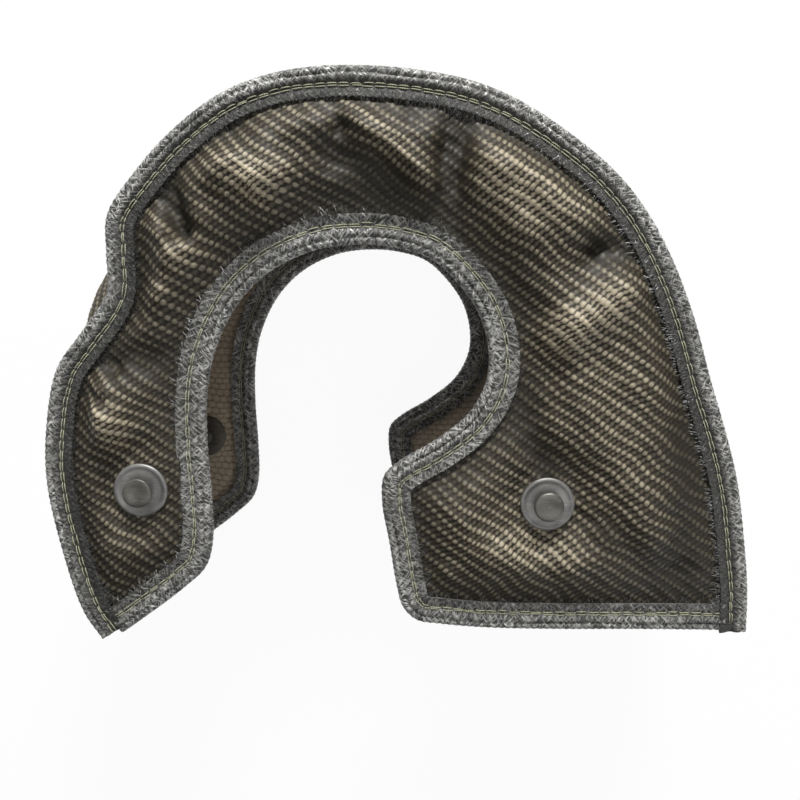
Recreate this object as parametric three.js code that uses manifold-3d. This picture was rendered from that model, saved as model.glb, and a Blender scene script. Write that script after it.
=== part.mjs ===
// Padded heat blanket for the turbine housing of a turbocharger, lying on its back panel.
// It is a C-shaped sleeve: a front panel, a back panel and a rim band round the outside, open on
// the inside, where the housing sits, and at the bottom, where its inlet foot comes out. Each wall
// is a woven cover cloth, a needled mat and a knitted liner. The edges are bound in folded tape of
// knitted wire, and four lacing studs are riveted through the two panels.
// Millimetres, +Z up out of the front panel, origin under the middle of the blanket.
import * as THREE from 'three';
import { mergeVertices } from 'three/addons/utils/BufferGeometryUtils.js';
import Module from 'manifold-3d';

const wasm = await Module();
wasm.setup();

// Sleeve
const sleeveDepth = 76; // between the front and the back bound seam
const panelPuff = 6.2; // how far the padding swells each panel past its seams
const rimPuff = 10.2; // how far it swells the rim band
const rimClear = 2; // from the tape to the foot of the swelling
const foldedPuff = 1.9; // what is left of the swelling in the deepest fold
const rimMatThickness = 4.4;
const pinchLength = 20; // over which the rim thins towards its ends

// Cloths and tape
const coverThickness = 1.0;
const rimCoverDepth = 2.3; // from the foot of the rim cover's ribs to its smooth inner face
const linerThickness = 0.8;
const layerGap = 0.3; // clearance between two layers that lie on each other
const walePitch = 7; // between two diagonal ribs of the twill
const waleRise = 0.8;
const waleAngle = -36; // degrees, ribs run down to the right
const tapeWidth = 8.5;
const tapeWall = 0.7;
const cornerClear = 4; // from the rim cover to the ends of the inner tape
const tapeNose = 0.5; // how far back the folded edge of the tape is rounded

// Lacing studs
const washerDiameter = 15.7;
const washerThickness = 1.2;
const capDiameter = 8.5;
const capThickness = 1.5;
const waistDiameter = 6;
const waistHeight = 1.7;
const shankDiameter = 3.6;
const headDiameter = 5.6; // riveted head on the inside
const headHeight = 0.8;
const rivetSeat = 3.6; // height of the washer's seat over the seam plane
const studSpots = [[-75.4, -26], [42.8, -29.8]];

// Outer edge of the panels, along the middle of the bound seam, from the tip of the left leg over
// the top to the corner of the right leg. The front one is dented on the left, the back one not.
const outerEdgeFront = [
  [-90.3, -73.2], [-95.5, -64.5], [-100.9, -44.5], [-104, -24], [-103.1, -8.2], [-99, 9],
  [-91, 20], [-83.3, 31], [-82.8, 42], [-82, 52.5], [-73.9, 64], [-62.7, 75.5], [-49.2, 85],
  [-35.8, 90], [-22.7, 92], [-9.6, 92.2], [3.5, 91.2], [19.1, 88.3], [32.3, 83.2], [45.7, 75],
  [59.2, 64.4], [68.9, 53], [76.3, 40.3], [83.2, 24.1], [88.9, 6.3], [94.1, -8.9],
  [98.3, -23.3], [101.8, -43.7], [103.4, -57], [103.8, -69.5],
];
const outerEdgeBack = [
  [-90.3, -73.2], [-95.5, -64.5], [-100.9, -44.5], [-104, -24], [-103.1, -8.2], [-99.6, 9],
  [-96, 21], [-91.6, 33], [-86.6, 44], [-80.8, 54], [-73.2, 64.4], [-62.7, 75.5], [-49.2, 85],
  [-35.8, 90], [-22.7, 92], [-9.6, 92.2], [3.5, 91.2], [19.1, 88.3], [32.3, 83.2], [45.7, 75],
  [59.2, 64.4], [68.9, 53], [76.3, 40.3], [83.2, 24.1], [88.9, 6.3], [94.1, -8.9],
  [98.3, -23.3], [101.8, -43.7], [103.4, -57], [103.8, -69.5],
];
// Inner edge of the panels, from the same tip along the end of the left leg, round the hole and
// down the right leg to its corner.
const innerEdge = [
  [-90.3, -73.2], [-86, -72.2], [-75.9, -65.4], [-64, -56.2], [-58.2, -50.5], [-55.9, -43],
  [-55.7, -29], [-56.4, -13], [-55.9, 2], [-53.3, 14], [-46.8, 27], [-37.2, 36.6], [-24, 42.8],
  [-11.3, 44.4], [-0.6, 43.4], [9, 40.2], [17.4, 32.4], [22.9, 24], [25.4, 14.6], [25, 6],
  [20.3, -3.4], [10.8, -11.4], [-0.4, -18.2], [-4.6, -22.4], [-5.2, -30], [-3, -43],
  [-0.9, -56], [0.9, -62.5], [5, -66.6], [12, -67.8], [25.4, -68.9], [47.2, -69.3],
  [68.8, -69.2], [90.5, -69.3], [103.8, -69.5],
];

// Folds of the padding: a stroke from one point to another, its half width and its height.
const frontFolds = [
  { from: [16, 78], to: [11, 44], width: 5, height: -6 },
  { from: [30, 68], to: [60, 50], width: 10, height: 3.5 },
  { from: [24, 60], to: [34, 52], width: 9, height: 2 },
  { from: [58, 44], to: [70, 45], width: 5, height: -4.5 },
  { from: [72, 37], to: [40, 17], width: 5, height: 3 },
  { from: [-14, 80], to: [8, 60], width: 4, height: 2.6 },
  { from: [-18, 68], to: [0, 64], width: 7, height: -2.4 },
  { from: [-36, 80], to: [-16, 82], width: 6, height: 2.2 },
  { from: [-56, 72], to: [-34, 62], width: 6, height: 3.2 },
  { from: [-40, 60], to: [-36, 52], width: 3, height: 1.6 },
  { from: [-68, 66], to: [-60, 48], width: 4.5, height: -4 },
  { from: [-70, 52], to: [-58, 38], width: 7, height: 2.6 },
  { from: [-80, 28], to: [-67, 32], width: 4, height: 2.6 },
  { from: [-88, 4], to: [-82, -8], width: 6, height: 3 },
  { from: [-80, 12], to: [-62, 12], width: 6, height: -2 },
  { from: [21, 20], to: [43, -18], width: 5, height: -2.4 },
  { from: [60, 10], to: [66, -30], width: 14, height: 1.8 },
  { from: [30, -46], to: [60, -52], width: 9, height: 1.2 },
  { from: [80, -10], to: [84, -50], width: 7, height: -1.6 },
];
const backFolds = [
  { from: [40, 74], to: [20, 42], width: 6, height: -3 },
  { from: [-60, 68], to: [-44, 44], width: 6, height: -3 },
  { from: [84, 0], to: [34, 8], width: 7, height: -2.2 },
  { from: [-96, 0], to: [-62, 6], width: 6, height: -2 },
  { from: [66, -20], to: [66, -56], width: 10, height: -1.6 },
];
// Folds of the rim: places round the rim and through its depth as shares, half sizes in mm.
const rimFolds = [
  { round: 0.235, depth: 0.26, wide: 22, deep: 20, height: 5 },
  { round: 0.34, depth: 0.6, wide: 20, deep: 40, height: -2.2 },
  { round: 0.46, depth: 0.5, wide: 18, deep: 40, height: -2.4 },
  { round: 0.62, depth: 0.5, wide: 18, deep: 40, height: -2.6 },
  { round: 0.76, depth: 0.5, wide: 20, deep: 40, height: -2.2 },
  { round: 0.12, depth: 0.5, wide: 18, deep: 40, height: -1.8 },
];

// Levels of the layers in a bound seam, over the seam plane, outside first.
const seamStack = 2 * coverThickness + linerThickness + 2 * layerGap;
const coverLevel = seamStack / 2;
const linerLevel = coverLevel - coverThickness - layerGap;
// The inner tape starts past the outer one and past the rim cover under it.
const tapeEndClear = tapeWidth + rimClear + cornerClear;
const edgeInset = tapeWall + 2 * layerGap; // the cloths stop this far inside the tape's fold
const puffStart = tapeWidth - 1;
const freeSlot = coverThickness + linerThickness + 3 * layerGap; // inside of a free edge's tape
const freeLevel = coverLevel + layerGap - freeSlot / 2;
const rimStop = freeSlot / 2 + tapeWall - freeLevel + layerGap; // the rim's mat and liner end here
const rimWall = coverThickness + rimMatThickness + linerThickness + 2 * layerGap;
const rivetHeight = rivetSeat + washerThickness + waistHeight + capThickness + layerGap;
const backSeam = rivetHeight;
const frontSeam = backSeam + sleeveDepth;

const outerStations = 32;
const innerStations = 40;
const rimStations = 30;
const stationStretch = 20; // between two stations of a straight edge
const stationBend = 0.35; // radians between two stations of a bend
const gridStep = 19; // along the ribs
const coarseRows = 3; // ribs' half pitches between two rows of the smooth inner surfaces

const waleTurn = THREE.MathUtils.degToRad(-waleAngle);

const clamp = (value, low, high) => Math.min(Math.max(value, low), high);
const smooth = (value) => {
  const t = clamp(value, 0, 1);
  return t * t * (3 - 2 * t);
};

function curveThrough(points) {
  const corners = points.map(([x, y]) => new THREE.Vector3(x, y, 0));
  const curve = new THREE.CatmullRomCurve3(corners, false, 'centripetal');
  curve.arcLengthDivisions = 1200;
  return curve;
}

// Distance from a point to an open line of points.
function distanceToLine(x, y, line) {
  let best = Infinity;
  for (let i = 0; i + 1 < line.length; i += 1) {
    const [ax, ay] = line[i];
    const dx = line[i + 1][0] - ax;
    const dy = line[i + 1][1] - ay;
    const share = clamp(((x - ax) * dx + (y - ay) * dy) / (dx * dx + dy * dy), 0, 1);
    best = Math.min(best, Math.hypot(x - ax - dx * share, y - ay - dy * share));
  }
  return best;
}

// Moves each point of a line sideways, to the right of its direction. Round a corner tighter
// than the distance, the points gather at the corner's inside.
function offsetLine(line, distance, closed = false) {
  const count = line.length;
  const moved = line.map(([x, y], i) => {
    const before = line[closed ? (i + count - 1) % count : Math.max(i - 1, 0)];
    const after = line[closed ? (i + 1) % count : Math.min(i + 1, count - 1)];
    const a = new THREE.Vector2(x - before[0], y - before[1]).normalize();
    const b = new THREE.Vector2(after[0] - x, after[1] - y).normalize();
    const along = a.clone().add(b).normalize();
    const mitre = Math.max(along.dot(a.lengthSq() > 0 ? a : b), 0.5);
    return [x + along.y * distance / mitre, y - along.x * distance / mitre];
  });
  const track = closed ? [...line, line[0]] : line;
  const good = moved.map(([x, y]) => distanceToLine(x, y, track) > Math.abs(distance) * 0.998);
  if (closed) return moved.filter((point, i) => good[i]);
  for (let i = 1; i < count - 1; i += 1) {
    if (good[i]) continue;
    let last = i;
    while (last + 1 < count - 1 && !good[last + 1]) last += 1;
    const start = moved[i - 1];
    const end = moved[last + 1];
    const steps = last - i + 2;
    for (let j = i; j <= last; j += 1) {
      const share = (j - i + 1) / steps;
      moved[j] = [
        start[0] + (end[0] - start[0]) * share,
        start[1] + (end[1] - start[1]) * share,
      ];
    }
    i = last;
  }
  return moved;
}

// Places along a curve as shares of its length, closer together where it bends more.
function placesAlong(curve, count, from = 0) {
  const length = curve.getLength();
  const fine = 800;
  const at = (i) => from + (1 - 2 * from) * i / fine;
  const weights = [0];
  for (let i = 1; i <= fine; i += 1) {
    const bend = curve.getTangentAt(at(i)).angleTo(curve.getTangentAt(at(i - 1)));
    weights.push(weights[i - 1] + length / fine / stationStretch + bend / stationBend);
  }
  const places = [];
  let i = 0;
  for (let station = 0; station < count; station += 1) {
    const wanted = weights[fine] * station / (count - 1);
    while (i < fine && weights[i + 1] < wanted) i += 1;
    const share = i < fine ? (wanted - weights[i]) / (weights[i + 1] - weights[i]) : 0;
    places.push(Math.min(at(i + share), 1 - from));
  }
  return places;
}

// Points of an edge. With an end stretch, the first and last spans have that length.
function stationsOf(points, count, endStretch = 0) {
  const curve = curveThrough(points);
  const places = placesAlong(curve, count, endStretch / curve.getLength());
  if (endStretch > 0) places.unshift(0);
  if (endStretch > 0) places.push(1);
  return places.map((place) => curve.getPointAt(place).toArray().slice(0, 2));
}

function solidOf(geometry) {
  geometry.deleteAttribute('normal');
  geometry.deleteAttribute('uv');
  const merged = mergeVertices(geometry, 1e-5);
  return new wasm.Manifold(new wasm.Mesh({
    numProp: 3,
    vertProperties: new Float32Array(merged.attributes.position.array),
    triVerts: new Uint32Array(merged.index.array),
  }));
}

// Geometry of a solid. A panel's solid has heights out of its seam plane, side 1 for the front
// and -1 for the back, and any other solid is already in place.
function geometryOf(solid, side = 1, seam = 0) {
  const mesh = solid.getMesh();
  const positions = [];
  for (let i = 0; i < mesh.vertProperties.length; i += mesh.numProp) {
    positions.push(mesh.vertProperties[i], mesh.vertProperties[i + 1]);
    positions.push(seam + side * mesh.vertProperties[i + 2]);
  }
  const index = Array.from(mesh.triVerts);
  if (side < 0) {
    for (let i = 0; i < index.length; i += 3) {
      [index[i + 1], index[i + 2]] = [index[i + 2], index[i + 1]];
    }
  }
  const geometry = new THREE.BufferGeometry();
  geometry.setAttribute('position', new THREE.Float32BufferAttribute(positions, 3));
  geometry.setIndex(index);
  geometry.computeVertexNormals();
  return geometry;
}

function prism(line, low, high) {
  const shape = new THREE.Shape(line.map(([x, y]) => new THREE.Vector2(x, y)));
  const geometry = new THREE.ExtrudeGeometry(shape, { depth: high - low, bevelEnabled: false });
  geometry.translate(0, 0, low);
  return solidOf(geometry);
}

// Closed mesh from rows of points: each row is one closed loop, and the end rows are capped.
function loftGeometry(rows) {
  const count = rows[0].length;
  const positions = rows.flat(2);
  const index = [];
  for (let r = 0; r + 1 < rows.length; r += 1) {
    for (let c = 0; c < count; c += 1) {
      const next = (c + 1) % count;
      const a = r * count + c;
      const b = r * count + next;
      index.push(a, b, a + count, b, b + count, a + count);
    }
  }
  const geometry = new THREE.BufferGeometry();
  geometry.setAttribute('position', new THREE.Float32BufferAttribute(positions, 3));
  geometry.setIndex(index);
  return { geometry, index, count, rows: rows.length };
}

function capLoft(loft, outline) {
  const flat = outline.map(([x, y]) => new THREE.Vector2(x, y));
  const faces = THREE.ShapeUtils.triangulateShape(flat, []);
  const last = (loft.rows - 1) * loft.count;
  const contour = THREE.ShapeUtils.area(flat);
  for (const [a, b, c] of faces) {
    const face = THREE.ShapeUtils.area([flat[a], flat[b], flat[c]]);
    if (face * contour < 0) {
      loft.index.push(a, b, c, last + a, last + c, last + b);
    } else {
      loft.index.push(a, c, b, last + a, last + b, last + c);
    }
  }
  loft.geometry.setIndex(loft.index);
  const area = signedVolume(loft.geometry);
  if (area < 0) {
    for (let i = 0; i < loft.index.length; i += 3) {
      [loft.index[i + 1], loft.index[i + 2]] = [loft.index[i + 2], loft.index[i + 1]];
    }
    loft.geometry.setIndex(loft.index);
  }
  loft.geometry.computeVertexNormals();
  return loft.geometry;
}

function signedVolume(geometry) {
  const p = geometry.attributes.position;
  const a = new THREE.Vector3();
  const b = new THREE.Vector3();
  const c = new THREE.Vector3();
  let sum = 0;
  for (let i = 0; i < geometry.index.count; i += 3) {
    a.fromBufferAttribute(p, geometry.index.getX(i));
    b.fromBufferAttribute(p, geometry.index.getX(i + 1));
    c.fromBufferAttribute(p, geometry.index.getX(i + 2));
    sum += a.dot(b.clone().cross(c));
  }
  return sum / 6;
}

// Heights of one panel over its seam plane.
function panelHeights(outerLine, innerLine, folds) {
  const fromStuds = (x, y) => Math.min(...studSpots.map(([sx, sy]) => Math.hypot(x - sx, y - sy)));
  const seatBlend = (x, y) => smooth((fromStuds(x, y) - washerDiameter / 2 - 4) / 15);
  const swell = (x, y) => {
    const out = smooth((distanceToLine(x, y, outerLine) - puffStart) / 15);
    const inner = smooth((distanceToLine(x, y, innerLine) - puffStart) / 15);
    return out * inner;
  };
  const foldHeight = (x, y) => folds.reduce((sum, fold) => {
    const away = distanceToLine(x, y, [fold.from, fold.to]) / fold.width;
    return sum + fold.height * Math.exp(-away * away);
  }, 0);
  const cover = (x, y) => {
    const part = swell(x, y);
    const height = coverLevel + part * Math.max(panelPuff + foldHeight(x, y), foldedPuff);
    const seat = rivetSeat + 0.35;
    const blend = seatBlend(x, y);
    return part > 0 ? seat + (height - seat) * blend : height;
  };
  const ribs = (x, y) => smooth((fromStuds(x, y) - washerDiameter / 2) / 3)
    * smooth((Math.min(distanceToLine(x, y, outerLine), distanceToLine(x, y, innerLine))
      - tapeWidth + 1.5) / 3);
  return { cover, ribs };
}

// Solid from a floor up to a height field, sampled in rows along the ribs of the twill.
function fieldSolid(height, floor, rowStep, ribs = null) {
  const reach = 152;
  const columns = Math.ceil(2 * reach / gridStep);
  const rows = 2 * Math.ceil(reach / rowStep / 2) * 2;
  const positions = [];
  for (let r = 0; r <= rows; r += 1) {
    for (let c = 0; c <= columns; c += 1) {
      const u = (c - columns / 2) * gridStep;
      const v = (r - rows / 2) * rowStep;
      const x = u * Math.cos(waleTurn) + v * Math.sin(waleTurn);
      const y = v * Math.cos(waleTurn) - u * Math.sin(waleTurn);
      const rise = ribs ? (r % 2 === 0 ? 0.5 : -0.5) * waleRise * ribs(x, y) : 0;
      positions.push(x, y, height(x, y) + rise);
    }
  }
  return blockSolid(positions, rows + 1, columns + 1, (x, y) => [x, y, floor]);
}

// Closed solid between a grid of points and the grid that its twin function gives.
function blockSolid(positions, rows, columns, twin) {
  const size = rows * columns;
  const all = positions.slice();
  for (let i = 0; i < size; i += 1) {
    all.push(...twin(positions[3 * i], positions[3 * i + 1], positions[3 * i + 2], i));
  }
  const index = [];
  const quad = (a, b, c, d) => index.push(a, b, c, a, c, d);
  for (let r = 0; r + 1 < rows; r += 1) {
    for (let c = 0; c + 1 < columns; c += 1) {
      const a = r * columns + c;
      quad(a, a + 1, a + columns + 1, a + columns);
      quad(size + a, size + a + columns, size + a + columns + 1, size + a + 1);
    }
  }
  for (let c = 0; c + 1 < columns; c += 1) {
    const top = (rows - 1) * columns + c;
    quad(c, size + c, size + c + 1, c + 1);
    quad(top, top + 1, size + top + 1, size + top);
  }
  for (let r = 0; r + 1 < rows; r += 1) {
    const left = r * columns;
    const right = left + columns - 1;
    quad(left, left + columns, size + left + columns, size + left);
    quad(right, size + right, size + right + columns, right + columns);
  }
  const geometry = new THREE.BufferGeometry();
  geometry.setAttribute('position', new THREE.Float32BufferAttribute(all, 3));
  geometry.setIndex(index);
  if (signedVolume(geometry) < 0) {
    for (let i = 0; i < index.length; i += 3) {
      [index[i + 1], index[i + 2]] = [index[i + 2], index[i + 1]];
    }
    geometry.setIndex(index);
  }
  return solidOf(geometry);
}

// The main body of a cut solid, without the scraps that a cut may leave.
function largest(solid) {
  const bodies = solid.decompose();
  return bodies.reduce((most, body) => (body.volume() > most.volume() ? body : most));
}

function studHoles(diameter, low, high) {
  return studSpots.map(([x, y]) => {
    const geometry = new THREE.CylinderGeometry(diameter / 2, diameter / 2, high - low, 16);
    geometry.rotateX(Math.PI / 2);
    geometry.translate(x, y, (low + high) / 2);
    return solidOf(geometry);
  });
}

// The three layers of one panel, as solids over its seam plane.
function panelLayers(outerPoints, folds) {
  const outerLine = stationsOf(outerPoints, outerStations);
  const innerLine = stationsOf(innerEdge, innerStations, tapeEndClear);
  const heights = panelHeights(outerLine, innerLine, folds);
  const edge = [...outerLine, ...innerLine.slice(1, -1).reverse()];
  const deep = -40;
  const half = walePitch / 2;
  const coarse = half * coarseRows;
  const across = [-0.55, -0.28, 0, 0.28, 0.55].map((a) => a * coarse);
  const coverUnder = (x, y) => Math.min(...across.map(
    (v) => heights.cover(x + v * Math.sin(waleTurn), y + v * Math.cos(waleTurn)),
  )) - coverThickness - waleRise / 2;
  const matTop = (x, y) => coverUnder(x, y) - layerGap;
  const clothEdge = prism(offsetLine(edge, edgeInset, true), -30, 60);
  const matEdge = prism(offsetLine(edge, tapeWidth + 2.5, true), linerLevel + layerGap, 60);
  const shank = shankDiameter + 2 * layerGap;
  const seatCut = studHoles(washerDiameter + 2 * layerGap, rivetSeat, 40);

  // In the bound edge the cover is level, and inside it follows the padding.
  const inside = (margin) => prism(offsetLine(edge, tapeWidth + margin, true), deep - 5, 60);
  const band = prism(offsetLine(edge, -2, true), deep, coverLevel).subtract(inside(3 * layerGap));
  let cover = fieldSolid(heights.cover, deep, half, heights.ribs).intersect(inside(2 * layerGap));
  cover = cover.add(band).intersect(clothEdge);
  cover = cover.subtract(prism(offsetLine(edge, -3, true), deep - 1, coverLevel - coverThickness));
  cover = cover.subtract(fieldSolid(coverUnder, deep - 1, coarse)
    .intersect(inside(2 * layerGap + coverThickness)));
  let mat = fieldSolid(matTop, deep, coarse).intersect(matEdge);
  let liner = prism(offsetLine(edge, edgeInset, true), linerLevel - linerThickness, linerLevel);
  for (const cut of seatCut) cover = cover.subtract(cut);
  for (const hole of studHoles(shank, -30, 30)) {
    cover = cover.subtract(hole);
    mat = mat.subtract(hole);
    liner = liner.subtract(hole);
  }
  return { cover: largest(cover), mat: largest(mat), liner, outerLine, innerLine };
}

// Place on the rim: round 0 to 1 along the edge, over the edge by a distance, at a height.
const frontCurve = curveThrough(outerEdgeFront);
const backCurve = curveThrough(outerEdgeBack);
const rimLength = backCurve.getLength();

function edgePoint(curve, round) {
  const t = clamp(round, 0, 1);
  const point = curve.getPointAt(t);
  const along = curve.getTangentAt(t);
  point.addScaledVector(along, (round - t) * rimLength);
  return { point, normal: new THREE.Vector3(-along.y, along.x, 0) };
}

function rimPoint(round, over, height) {
  const front = edgePoint(frontCurve, round);
  const back = edgePoint(backCurve, round);
  const blend = smooth((frontSeam - height) / sleeveDepth / 0.4);
  const base = front.point.lerp(back.point, blend);
  const normal = front.normal.lerp(back.normal, blend).normalize();
  return [base.x + normal.x * over, base.y + normal.y * over, height];
}

// 0 under the tape on the ends of the rim, 1 where its padding has its full thickness.
const pinch = (round) => smooth(
  (Math.min(round, 1 - round) * rimLength - tapeWidth - 1) / pinchLength,
);

// Section of the rim cover's outside, from the flange in the front seam to the one in the back
// seam, as distances over the panel edge and heights, with the way to the inside at each point.
function rimSection(round, tip = -edgeInset, wallOnly = false) {
  const root = -tapeWidth - rimClear;
  const spans = 6;
  const top = frontSeam - coverLevel;
  const bottom = backSeam + coverLevel;
  const points = wallOnly ? [] : [[tip, top]];
  const ends = pinch(round);
  for (let i = 0; i <= spans; i += 1) {
    const depth = i / spans;
    const height = top + (bottom - top) * depth;
    const swell = 1 - Math.abs(2 * depth - 1) ** 2.6;
    let over = root + (rimPuff * (0.35 + 0.65 * ends)) * swell;
    for (const fold of rimFolds) {
      const across = (round - fold.round) * rimLength / fold.wide;
      const down = (depth - fold.depth) * sleeveDepth / fold.deep;
      over += fold.height * Math.exp(-across * across - down * down) * swell * ends;
    }
    points.push([over, height]);
  }
  if (!wallOnly) points.push([tip, bottom]);
  return points.map(([over, height], i) => {
    const before = points[Math.max(i - 1, 0)];
    const after = points[Math.min(i + 1, points.length - 1)];
    const a = new THREE.Vector2(over - before[0], height - before[1]);
    const b = new THREE.Vector2(after[0] - over, after[1] - height);
    if (a.lengthSq() === 0) a.copy(b);
    if (b.lengthSq() === 0) b.copy(a);
    a.normalize();
    b.normalize();
    const along = a.clone().add(b).normalize();
    const mitre = along.dot(a);
    return { over, height, inward: [along.y / mitre, -along.x / mitre] };
  });
}

function rimGrid(places, depthIn, { wallOnly = false, ribbed = false, tip = -edgeInset }) {
  const positions = [];
  let columns = 0;
  places.forEach((place, row) => {
    const section = rimSection(place, tip, wallOnly);
    let run = 0;
    columns = section.length;
    for (let c = 0; c < columns; c += 1) {
      if (c > 0) {
        const { over, height } = section[c - 1];
        run += Math.hypot(section[c].over - over, section[c].height - height);
      }
      const round = place + (ribbed ? run / Math.tan(waleTurn) / rimLength : 0);
      const p = rimSection(round, tip, wallOnly)[c];
      const onWall = wallOnly || (c > 1 && c < columns - 2);
      const rise = ribbed && onWall && row % 2 === 0 ? waleRise * pinch(round) : 0;
      const depth = depthIn(round, onWall) - rise;
      let height = p.height + p.inward[1] * depth;
      if (wallOnly) height = clamp(height, backSeam + rimStop, frontSeam - rimStop);
      positions.push(...rimPoint(round, p.over + p.inward[0] * depth, height));
    }
  });
  return { positions, rows: places.length, columns };
}

// Solid between two depths under the rim cover's outside.
function rimSlab(places, outerDepth, innerDepth, options = {}) {
  const outside = rimGrid(places, outerDepth, options);
  const inside = rimGrid(places, innerDepth, options).positions;
  return blockSolid(outside.positions, outside.rows, outside.columns,
    (x, y, z, i) => inside.slice(3 * i, 3 * i + 3));
}

function rounds(from, to, count) {
  return Array.from({ length: count + 1 }, (unused, i) => from + (to - from) * i / count);
}

// Big blocks past the two ends of the rim, to trim its diagonal cloth straight.
function rimTrim() {
  return [0, 1].map((round) => {
    const { point } = edgePoint(backCurve, round);
    const along = backCurve.getTangentAt(round).multiplyScalar(round === 0 ? -1 : 1);
    const size = 400;
    const geometry = new THREE.BoxGeometry(size, 80, size);
    geometry.translate(size / 2 - edgeInset, 0, 0);
    geometry.rotateZ(Math.atan2(along.y, along.x));
    geometry.translate(point.x, point.y, 0);
    return solidOf(geometry);
  });
}

// Section of the folded tape: distance in from its fold, and height over its middle.
function tapeSection(slot) {
  const half = slot / 2 + tapeWall;
  return [
    [tapeWidth, half], [tapeNose, half], [0, 0], [tapeNose, -half], [tapeWidth, -half],
    [tapeWidth, -slot / 2], [tapeWall, -slot / 2], [tapeWall, slot / 2], [tapeWidth, slot / 2],
  ];
}

// Tape folded over an edge line. Its middle lies at the given level.
function tapeGeometry(line, level, slot) {
  const far = offsetLine(line, tapeWidth);
  const section = tapeSection(slot);
  const rows = line.map(([x, y], i) => {
    const way = [(far[i][0] - x) / tapeWidth, (far[i][1] - y) / tapeWidth];
    return section.map(([inward, height]) => [
      x + way[0] * inward, y + way[1] * inward, level + height,
    ]);
  });
  return capLoft(loftGeometry(rows), section);
}

// Lacing stud on the panel's height axis: cap, waist and shank, riveted over on the inside.
function studGeometry(insideLevel) {
  const base = rivetSeat + washerThickness + layerGap;
  const top = base + waistHeight + capThickness;
  const profile = [
    [0, insideLevel - headHeight], [headDiameter / 2, insideLevel - headHeight],
    [headDiameter / 2, insideLevel], [shankDiameter / 2, insideLevel],
    [shankDiameter / 2, base], [waistDiameter / 2, base],
    [waistDiameter / 2, base + waistHeight], [capDiameter / 2, base + waistHeight],
    [capDiameter / 2, top - 0.4], [capDiameter / 2 - 0.5, top], [0, top],
  ];
  return new THREE.LatheGeometry(profile.map(([r, h]) => new THREE.Vector2(r, h)), 12);
}

function ringGeometry(hole, low, high) {
  const radius = washerDiameter / 2;
  const profile = [[hole / 2, low], [radius, low], [radius, high], [hole / 2, high], [hole / 2, low]];
  return new THREE.LatheGeometry(profile.map(([r, h]) => new THREE.Vector2(r, h)), 14);
}

// Turns a lathe piece's height axis from Y to Z.
function upright(geometry) {
  geometry.rotateX(Math.PI / 2);
  return solidOf(geometry);
}

// Tape on an end of the rim, from one outer binding to the other.
function endTapeGeometry(end) {
  const reach = coverLevel + layerGap + tapeWall + layerGap;
  const section = tapeSection(freeSlot);
  const rows = rimSection(end, 0, true).map(({ height }, level) => section.map(
    ([inward, across]) => {
      const round = Math.abs(end - inward / rimLength);
      const { over } = rimSection(round, 0, true)[level];
      const limited = clamp(height, backSeam + reach, frontSeam - reach);
      return rimPoint(round, over + layerGap - freeSlot / 2 + across, limited);
    },
  ));
  return capLoft(loftGeometry(rows), section);
}

const finish = {
  cover: { color: 0x6f6856, roughness: 0.85, metalness: 0 },
  mat: { color: 0xb9ac8c, roughness: 0.95, metalness: 0 },
  liner: { color: 0x4a3a2a, roughness: 0.8, metalness: 0.2 },
  tape: { color: 0x6e706c, roughness: 0.5, metalness: 0.7 },
  steel: { color: 0x77726b, roughness: 0.4, metalness: 1 },
};
const blanket = new THREE.Group();

function addPiece(name, geometry, look) {
  const mesh = new THREE.Mesh(geometry, new THREE.MeshStandardMaterial(finish[look]));
  mesh.name = name;
  blanket.add(mesh);
}

for (const [name, side, seam, points, folds] of [
  ['front', 1, frontSeam, outerEdgeFront, frontFolds],
  ['back', -1, backSeam, outerEdgeBack, backFolds],
]) {
  const panel = panelLayers(points, folds);
  addPiece(`${name}_cover`, geometryOf(panel.cover, side, seam), 'cover');
  addPiece(`${name}_insulation`, geometryOf(panel.mat, side, seam), 'mat');
  addPiece(`${name}_liner`, geometryOf(panel.liner, side, seam), 'liner');

  const seamSlot = seamStack + 2 * layerGap;
  const outerTape = tapeGeometry(panel.outerLine, 0, seamSlot);
  addPiece(`${name}_outer_binding`, geometryOf(solidOf(outerTape), side, seam), 'tape');
  const innerTape = tapeGeometry(panel.innerLine.slice(1, -1).reverse(), freeLevel, freeSlot);
  addPiece(`${name}_inner_binding`, geometryOf(solidOf(innerTape), side, seam), 'tape');

  studSpots.forEach(([x, y], i) => {
    const spot = i === 0 ? 'left' : 'right';
    const hole = shankDiameter + 2 * layerGap;
    const inside = linerLevel - linerThickness - layerGap - washerThickness;
    const pieces = {
      stud: upright(studGeometry(inside - layerGap)),
      washer: upright(ringGeometry(hole, rivetSeat, rivetSeat + washerThickness)),
      backing_disc: upright(ringGeometry(hole, inside, inside + washerThickness)),
    };
    for (const [piece, solid] of Object.entries(pieces)) {
      const moved = solid.translate([x, y, 0]);
      addPiece(`${name}_${spot}_${piece}`, geometryOf(moved, side, seam), 'steel');
    }
  });
}

const fineCount = 2 * Math.round(rimLength * Math.sin(waleTurn) / walePitch);
const slack = 1.3 * sleeveDepth / Math.tan(waleTurn) / rimLength;
const fine = rounds(-slack, 0.04, Math.round(fineCount * (slack + 0.04)));
const ribbed = fine.concat(rounds(0.04, 1.04, fineCount).slice(1));
const matShort = (tapeWidth + 6) / rimLength; // the mat stops short of the bound ends
const plain = placesAlong(frontCurve, rimStations)
  .filter((round) => round > 1.5 * matShort && round < 1 - 1.5 * matShort);
const taped = (tapeWidth + 1) / rimLength;
plain.unshift(0, taped, matShort);
plain.push(1 - matShort, 1 - taped, 1);
const wide = [-0.02, ...plain, 1.02];
const rimInner = (round, onWall) => coverThickness
  + (onWall ? (rimCoverDepth - coverThickness) * pinch(round) : 0);
let rimCover = rimSlab(ribbed, () => 0, () => 3.2, { ribbed: true });
rimCover = rimCover.subtract(rimSlab(wide, rimInner, () => 5, { tip: 3 }));
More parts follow.
